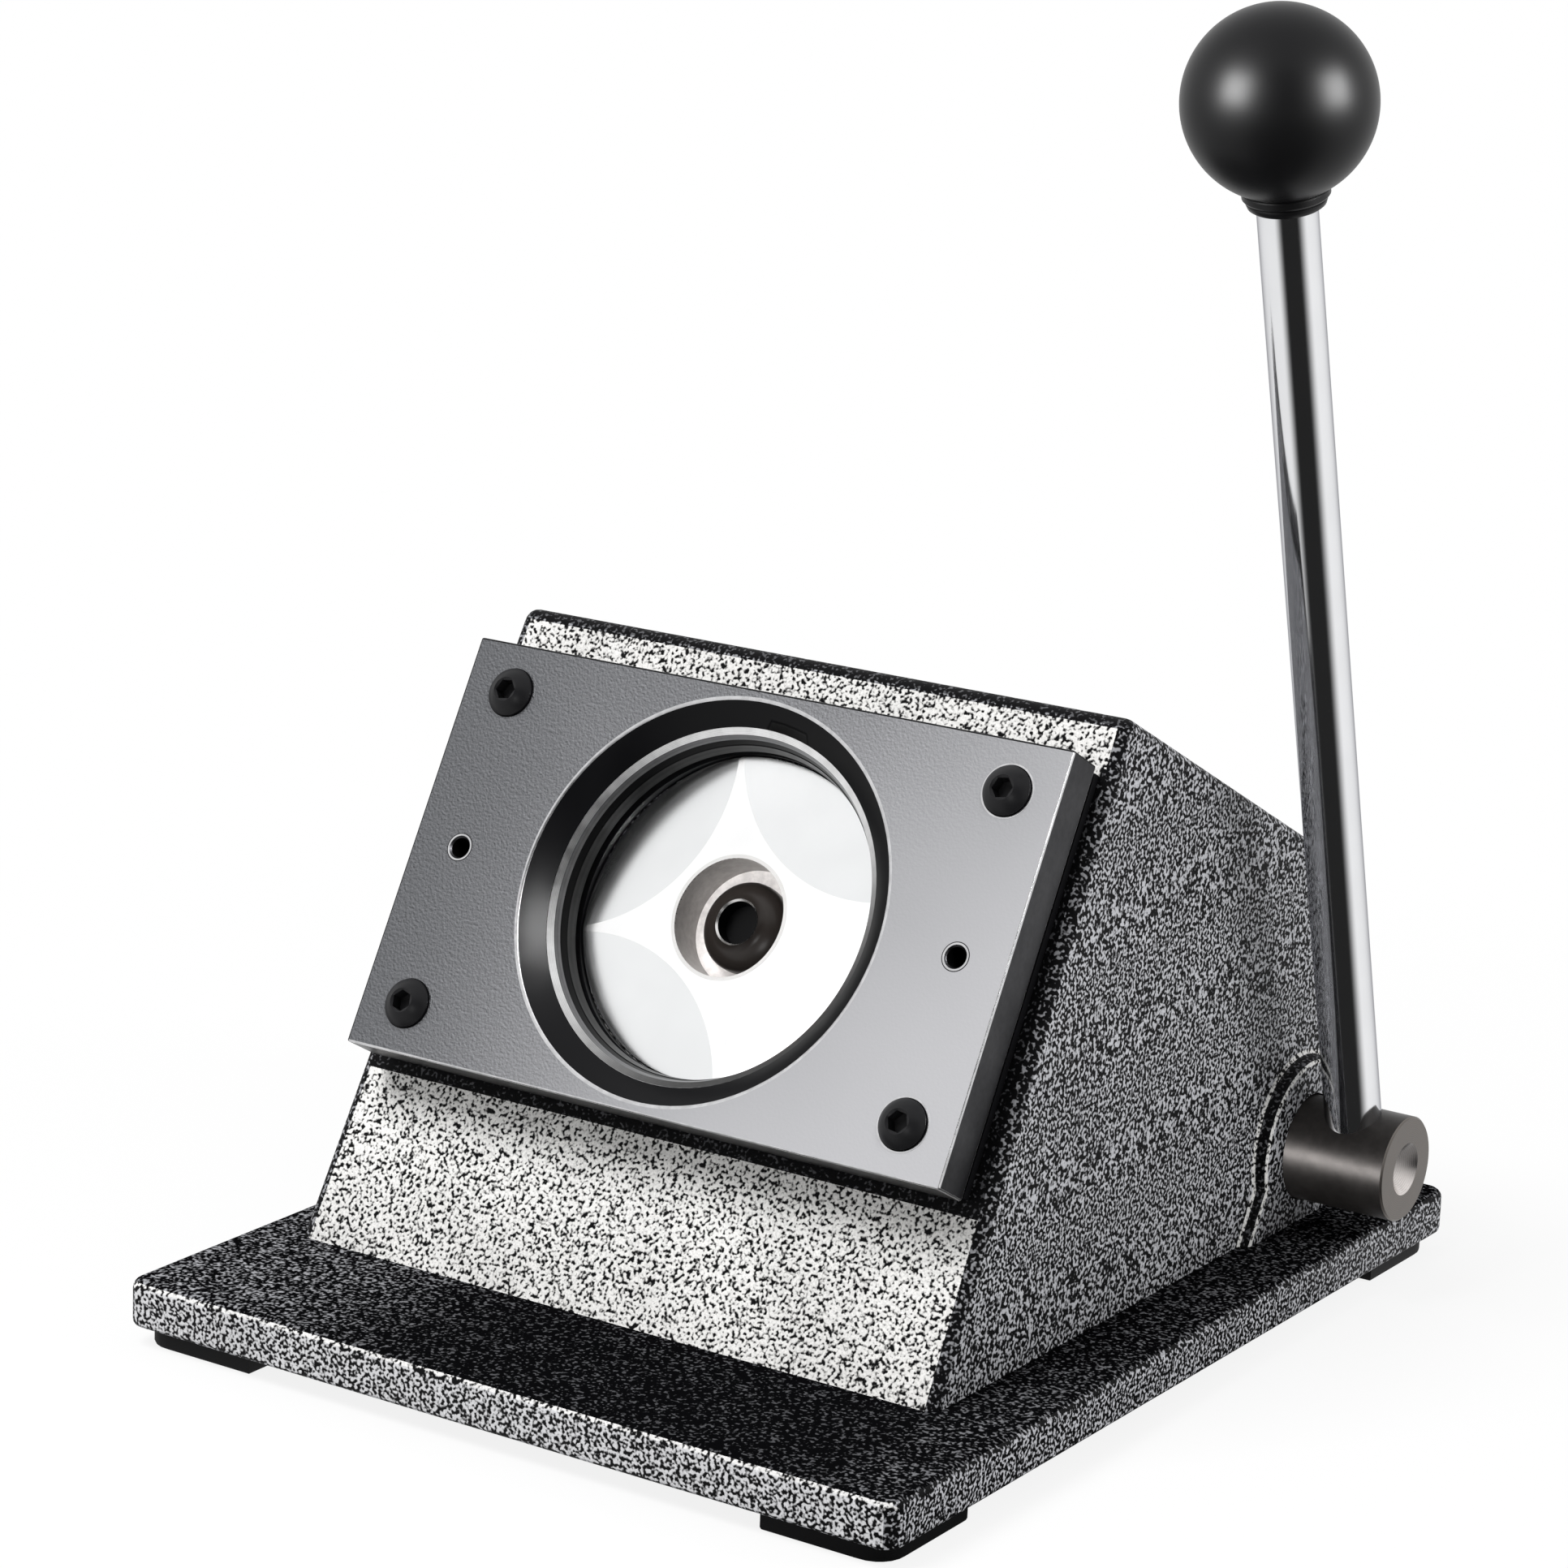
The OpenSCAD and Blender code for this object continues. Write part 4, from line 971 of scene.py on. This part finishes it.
class DIECUTTER_OT_punch(bpy.types.Operator):
    """Hollow-ground punch and its screw"""

    bl_idname = "die_cutter.punch"
    bl_label = "Punch"

    def execute(self, context):
        self.face()
        self.screw()
        return {"FINISHED"}

    def face(self):
        """The punch, with a finish for its flat, its hollows in painted shade, its bore, the bore's mouth as
        a painted highlight and its floor in painted light.
        """
        flat, hollow, wall, mouth, floor = range(5)
        shape = cad_copy("punch", join=False)
        places = [on_plate(vertex.co) for vertex in shape.verts]
        top = max(place[2] for place in places)
        bore = min(math.hypot(*place[:2]) for place in places if place[2] > top - 0.01)
        for face in shape.faces:
            facing = face.normal.dot(OUT)
            u, v, n = on_plate(face.calc_center_median())
            if math.hypot(u, v) < bore + 0.2:
                face.material_index = floor if facing > 0.9 else wall
            elif 0.9 < facing < 0.99995 and n < top - 0.0005:
                face.material_index = hollow
        low, high = top - 0.5, top + 0.02
        lip = [(bore, low), (bore, high), (bore + 0.75, high), (bore + 0.85, low), (bore, low)]
        lathe(lip, PLATE, OUT, ACROSS, 128, (mouth,) * 4, shape)
        finishes = ["punch_steel", "punch_hollow", "bore_steel", "bore_mouth", "bore_floor"]
        piece = make_piece(shape, "punch_face", "punch", "punch", finishes, 30, weigh=False)
        # Two finishes meet at a sharp edge
        shape = bmesh.new()
        shape.from_mesh(piece.data)
        for edge in shape.edges:
            if len({face.material_index for face in edge.link_faces}) == 2:
                edge.smooth = False
        shape.to_mesh(piece.data)
        shape.free()

    def screw(self):
        """The screw in the punch's bore, with a head a little smaller than the solid's."""
        places = [(math.hypot(u, v), n) for u, v, n in node_on_plate("punch_screw")]
        head = max(radius for radius, n in places)
        crown, tip = max(n for radius, n in places), min(n for radius, n in places)
        seat = min(n for radius, n in places if radius > head - 0.1)
        shank = max(radius for radius, n in places if n < seat - 0.5)
        head -= 0.9
        tall = crown - seat
        arc = [math.radians(6 * k) for k in range(12)]
        dome = [(head * math.cos(a), seat + tall * (0.3 + 0.7 * math.sin(a))) for a in arc]
        socket = [(4.9, crown), (4.5, crown - 0.35), (4.3, crown - 3.6), (0.0, crown - 4.2)]
        profile = [(0.0, tip), (shank - 0.6, tip), (shank, tip + 0.6), (shank, seat),
                   (head - 0.3, seat), (head, seat + 0.3)]
        profile += [point for point in dome if point[0] > 5.2] + socket
        rim = len(profile) - len(socket)
        # The socket's rim gets a pale finish as a painted highlight, and its inside the black finish as
        # painted shade
        finishes = [1 if k == rim else 2 * (k > rim) for k in range(len(profile) - 1)]
        shape = lathe(profile, PLATE, OUT, ACROSS, 96, finishes)
        make_piece(shape, "punch_bolt", "punch", "punch_screw",
                   ["punch_screw_steel", "bore_mouth", "throat_black"], 40, weigh=False)


class DIECUTTER_OT_shaft(bpy.types.Operator):
    """Cross shaft with its turned end and centre"""

    bl_idname = "die_cutter.shaft"
    bl_label = "Cross shaft"

    def execute(self, context):
        low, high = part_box("drive_shaft")
        radius = (high.y - low.y) / 2 / MM
        left, right = (low.x - SHAFT.x) / MM, (high.x - SHAFT.x) / MM
        bevel, centre = 0.4, radius / 2
        profile = [(0.0, left), (radius - bevel, left), (radius, left + bevel), (radius, right - bevel),
                   (radius - bevel, right), (centre, right), (0.0, right - centre)]
        shape = lathe(profile, SHAFT, ACROSS, UPRIGHT, 128)
        for face in shape.faces:
            out, away = around_shaft(face.calc_center_median())
            if abs(face.normal.x) > 0.3:
                face.material_index = 2 if out > 0 and away < centre * 0.98 else 1
        make_piece(shape, "shaft", "lever", "drive_shaft",
                   ["shaft_steel", "shaft_end", "centre_steel"], 30, weigh=False)
        return {"FINISHED"}


class DIECUTTER_OT_lever(bpy.types.Operator):
    """Chromed rod, ball and collar"""

    bl_idname = "die_cutter.lever"
    bl_label = "Lever"

    def execute(self, context):
        foot = Vector((KNOB.x, SHAFT.y, SHAFT.z))
        axis = (middle_of("knob_insert") - foot).normalized()

        def span(node):
            along = [(vertex.co - foot).dot(axis) / MM for vertex in frame["nodes"][node].data.vertices]
            return min(along), max(along)

        low, high = span("lever_rod")
        rod = sizes().rod / MM / 2
        profile = [(0.0, low), (rod - 1, low), (rod, low + 1), (rod, high), (0.0, high)]
        make_piece(lathe(profile, foot, axis, ACROSS, 128), "rod", "lever", "lever_rod",
                   ["rod_chrome"], weigh=False)
        # The ball is open below round the rod and its insert
        ball, steps = sizes().ball / MM / 2, 72
        flat, top = span("ball_knob")
        centre, bore = top - ball, rod + 2.05
        start = math.acos((flat - centre) / ball)
        arc = [start - start * k / steps for k in range(steps)]
        profile = [(0.0, centre + 4), (bore, centre + 4), (bore, flat)]
        profile += [(ball * math.sin(t), centre + ball * math.cos(t)) for t in arc] + [(0.0, top)]
        make_piece(lathe(profile, foot, axis, ACROSS, 128), "ball", "lever", "ball_knob",
                   ["ball_plastic"], 50, weigh=False)
        # Each step of the collar: how far outside its diameter, and the share of its height
        low, high = span("knob_collar")
        wide, bore = sizes().collar / MM / 2, rod + 0.03
        steps = [(-2.55, 0.0), (-1.45, 0.0), (-0.95, 0.1), (-0.7, 0.28), (-0.7, 0.36), (-0.95, 0.42),
                 (-0.95, 0.46), (-0.3, 0.5), (0.0, 0.6), (0.0, 0.88), (-0.25, 0.97), (-0.5, 1.0)]
        outside = [(wide + x, low + z * (high - low)) for x, z in steps]
        profile = [(bore, low), *outside, (bore, high), (bore, low)]
        shape = lathe(profile, foot, axis, ACROSS)
        bmesh.ops.remove_doubles(shape, verts=shape.verts, dist=1e-6)
        bmesh.ops.recalc_face_normals(shape, faces=shape.faces)
        make_piece(shape, "collar_ring", "lever", "knob_collar", ["ball_plastic"])
        finish_node("knob_insert", "brass_insert")
        return {"FINISHED"}


class DIECUTTER_OT_works(bpy.types.Operator):
    """Inner works: bushes, cam, collars, ram, roller and return spring"""

    bl_idname = "die_cutter.works"
    bl_label = "Inner works"

    def execute(self, context):
        for name, nodes in (
            ("bronze", ("guide_bush", "left_bush", "right_bush")),
            ("cam_steel", ("cam", "left_collar", "right_collar", "ram", "spring_seat")),
            ("plain_screw", ("cam_pin", "punch_dowel", "roller_pin")),
            ("black_screw", ("collar_screws", "roller_clips")),
            ("ring_steel", ("cam_roller",)),
        ):
            for node in nodes:
                finish_node(node, name)
        places = node_on_plate("return_spring")
        heights = [place[2] for place in places]
        radii = [math.hypot(*place[:2]) for place in places]
        wire = (max(radii) - min(radii)) / 2
        low, high = min(heights) + wire, max(heights) - wire
        piece = grow("coil", spring_tree(), {
            "Turns": 5.0, "Radius": (max(radii) + min(radii)) / 2 * MM, "Length": (high - low) * MM,
            "Wire": wire * MM, "Place": tuple(PLATE + OUT * low * MM), "Tilt": SLOPE,
            "Finish": finish("spring_steel")})
        dress(piece, "frame", "return_spring")
        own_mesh(piece)
        return {"FINISHED"}


def toward(azimuth, elevation):
    """The direction from the part to a place at that azimuth and elevation, in degrees."""
    a, e = math.radians(azimuth), math.radians(elevation)
    return Vector((math.sin(a) * math.cos(e), -math.cos(a) * math.cos(e), math.sin(e)))


class DIECUTTER_OT_stage(bpy.types.Operator):
    """Floor, lamps, white surround, dark room behind the camera, and camera"""

    bl_idname = "die_cutter.stage"
    bl_label = "Stage"

    def execute(self, context):
        scene = context.scene
        scene.view_settings.view_transform = "Standard"
        self.surround(scene)
        self.floor(scene)
        self.lamps(scene)
        self.camera(scene)
        self.dark_room(scene)
        return {"FINISHED"}

    def seen_share(self, tree):
        """1 for rays from the camera, a mirror or glass, otherwise 0."""
        path = add(tree, "ShaderNodeLightPath").outputs
        both = math_node(tree, "MAXIMUM", path["Is Camera Ray"], path["Is Glossy Ray"])
        return math_node(tree, "MAXIMUM", both, path["Is Transmission Ray"])

    def surround(self, scene):
        world = bpy.data.worlds.new("Studio")
        scene.world = world
        world.use_nodes = True
        tree = world.node_tree
        tree.nodes.clear()
        # White where it is seen, and a softer light on the part
        seen, thrown = 1.0, 0.42
        strength = between(tree, self.seen_share(tree), 0.0, 1.0, thrown, seen)
        light = add(tree, "ShaderNodeBackground", {"Color": (1.0, 1.0, 1.0), "Strength": strength})
        add(tree, "ShaderNodeOutputWorld", {"Surface": light.outputs[0]})

    def sheet(self, scene, name, corners, material):
        """A four-cornered sheet of the stage."""
        mesh = bpy.data.meshes.new(name)
        mesh.from_pydata(corners, [], [(0, 1, 2, 3)])
        mesh.materials.append(material)
        sheet = bpy.data.objects.new(name, mesh)
        scene.collection.objects.link(sheet)
        return sheet

    def floor(self, scene):
        material, tree = empty_material("white_floor")
        matt = add(tree, "ShaderNodeBsdfDiffuse", {"Color": (0.9, 0.9, 0.9)})
        place = object_place(tree)
        # The camera stands in the dark quarter of the studio, so mirrors see that quarter of the floor dark
        foot = Vector((KNOB.x, SHAFT.y, 0.0))
        east, north, rise = add(
            tree, "ShaderNodeSeparateXYZ", {0: vector_node(tree, "SUBTRACT", place, foot)}).outputs
        heading = math_node(tree, "ARCTAN2", east, math_node(tree, "MULTIPLY", north, -1.0))
        left, right = [math.radians(x) for x in (-26, 8)], [math.radians(x) for x in (60, 104)]
        quarter = math_node(tree, "MAXIMUM", between(tree, heading, *left, 0.92, 0.02),
                            between(tree, heading, *right, 0.02, 0.97))
        mirrored = add(tree, "ShaderNodeLightPath").outputs["Is Glossy Ray"]
        bright = math_node(tree, "MULTIPLY_ADD", mirrored, math_node(tree, "SUBTRACT", quarter, 1.0), 1.0)
        glow = add(tree, "ShaderNodeEmission", {"Color": (1.0, 1.0, 1.0), "Strength": bright})
        # Near the part the floor keeps a share of its shadow
        away = vector_node(tree, "LENGTH", place)
        share = math_node(tree, "MULTIPLY", self.seen_share(tree), between(tree, away, 0.12, 0.42, 0.86, 1.0))
        share = math_node(tree, "MAXIMUM", share, mirrored)
        mixed = add(tree, "ShaderNodeMixShader", {0: share, 1: matt.outputs[0], 2: glow.outputs[0]})
        add(tree, "ShaderNodeOutputMaterial", {"Surface": mixed.outputs[0]})
        floor = self.sheet(scene, "floor", [(-2, -2, 0), (2, -2, 0), (2, 2, 0), (-2, 2, 0)], material)

    def lamps(self, scene):
        """A soft key and fill that only light matt surfaces, and lamps for single pieces' highlights."""
        aim = Vector((0, 0, 0.09))
        tail = Vector((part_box("drive_shaft")[1].x, SHAFT.y, SHAFT.z))
        knob_pieces, screws = ("ball", "collar_ring"), ("plate_screw_set", "punch_bolt")
        # Each lamp's target, azimuth, elevation, distance, width and power, the pieces that it lights, and
        # what throws a shadow in it
        for name, target, azimuth, elevation, away, wide, power, pieces, walls in (
            ("key", aim, -30, 58, 1.3, 0.6, 14.5, (), ()),
            ("side_fill", aim, 113, 25, 1.2, 0.35, 4.0, (), ()),
            ("left_glint", KNOB, -26, 15, 1.2, 0.6, 66.0, knob_pieces, ()),
            ("right_glint", KNOB, 97, 17, 1.2, 0.6, 54.0, knob_pieces, ()),
            ("screw_glint", PLATE, 20, 10, 1.2, 0.2, 1.5, screws, ()),
            ("throat_glint", PLATE, 60, 50, 1.2, 0.45, 24.0, ("plate",), ()),
            ("shaft_glint", tail, -32, -3, 0.5, 0.12, 3.2, ("shaft",), ("rod",)),
            ("punch_glow", PLATE, -20, 31, 1.2, 0.3, 0.4, ("punch_face",), ()),
            ("bore_glint", PLATE, 24, 14, 1.2, 0.3, 10.0, ("punch_face",), ("punch_face", "plate")),
        ):
            back = toward(azimuth, elevation)
            lamp = bpy.data.lights.new(name, "AREA")
            lamp.shape, lamp.size, lamp.energy = "SQUARE", wide, power
            holder = bpy.data.objects.new(name, lamp)
            turn = back.to_track_quat("Z", "Y").to_matrix().to_4x4()
            holder.matrix_world = Matrix.Translation(target + back * away) @ turn
            scene.collection.objects.link(holder)
            if pieces:
                holder.light_linking.receiver_collection = self.group(name, pieces)
                lamp.cycles.use_multiple_importance_sampling = False
                # The ball's lamps only draw its highlights
                holder.visible_diffuse = pieces != knob_pieces
                if walls:
                    holder.light_linking.blocker_collection = self.group(name + "_walls", walls)
            else:
                holder.visible_glossy = False

    def group(self, name, pieces):
        made = bpy.data.collections.new(name)
        for piece in pieces:
            made.objects.link(bpy.data.objects[piece])
        return made

    def camera(self, scene):
        """The camera at the photograph's place. Its focal length is in pixels of a square frame."""
        azimuth, elevation, roll = 33.1907, 14.4002, math.radians(2.2513)
        focal, frame_width, sensor = 5907.33, 1932, 36.0
        back = toward(azimuth, elevation)
        right = UPRIGHT.cross(back).normalized()
        rise = back.cross(right)
        across = right * math.cos(roll) + rise * math.sin(roll)
        upward = rise * math.cos(roll) - right * math.sin(roll)
        lens = bpy.data.cameras.new("camera")
        lens.lens, lens.sensor_width = sensor * focal / frame_width, sensor
        lens.clip_start, lens.clip_end = 0.05, 30.0
        holder = bpy.data.objects.new("camera", lens)
        turn = Matrix((across, upward, back)).transposed().to_4x4()
        holder.matrix_world = Matrix.Translation(PLATE + Vector((0.516120, -0.764279, 0.262768))) @ turn
        scene.collection.objects.link(holder)
        scene.camera = holder

    def dark_room(self, scene):
        """The dark room behind the camera, which only mirrors see."""
        aim = Vector((0.05, 0, 0.12))
        back = (scene.camera.matrix_world.translation - aim).normalized()
        side = UPRIGHT.cross(back).normalized()
        rise = back.cross(side)
        wall = aim + back * 1.5
        left, right, low, high = side * -0.95, side * 0.95, rise * -0.35, rise * 0.95
        material, tree = empty_material("dark_room")
        glow = add(tree, "ShaderNodeEmission", {"Color": (1.0, 1.0, 1.0), "Strength": 0.03})
        add(tree, "ShaderNodeOutputMaterial", {"Surface": glow.outputs[0]})
        corners = [wall + left + low, wall + right + low, wall + right + high, wall + left + high]
        card = self.sheet(scene, "dark_room", corners, material)
        card.visible_camera = card.visible_diffuse = card.visible_shadow = card.visible_transmission = False


OPERATORS = (
    DIECUTTER_OT_base, DIECUTTER_OT_feet, DIECUTTER_OT_housing, DIECUTTER_OT_die, DIECUTTER_OT_punch,
    DIECUTTER_OT_shaft, DIECUTTER_OT_lever, DIECUTTER_OT_works, DIECUTTER_OT_stage,
)


class DIECUTTER_PT_panel(bpy.types.Panel):
    """Sizes, colours and pieces of the die cutter"""

    bl_idname = "DIECUTTER_PT_panel"
    bl_label = "Die cutter"
    bl_space_type = "VIEW_3D"
    bl_region_type = "UI"
    bl_category = "Die cutter"

    def draw(self, context):
        for group in (context.scene.die_cutter_sizes, context.scene.die_cutter_colours):
            column = self.layout.column(align=True)
            for name in group.bl_rna.properties.keys():
                if name not in ("rna_type", "name"):
                    column.prop(group, name)
        for operator in OPERATORS:
            self.layout.operator(operator.bl_idname)


CLASSES = (DieCutterSizes, DieCutterColours, *OPERATORS, DIECUTTER_PT_panel)


def register():
    for kind in CLASSES:
        bpy.utils.register_class(kind)
    bpy.types.Scene.die_cutter_sizes = bpy.props.PointerProperty(type=DieCutterSizes)
    bpy.types.Scene.die_cutter_colours = bpy.props.PointerProperty(type=DieCutterColours)


def unregister():
    del bpy.types.Scene.die_cutter_colours
    del bpy.types.Scene.die_cutter_sizes
    for kind in reversed(CLASSES):
        bpy.utils.unregister_class(kind)


def main():
    register()
    steps = bpy.ops.die_cutter
    for step in (steps.base, steps.feet, steps.housing, steps.die, steps.punch,
                 steps.shaft, steps.lever, steps.works, steps.stage):
        step()


if __name__ == "__main__":
    main()
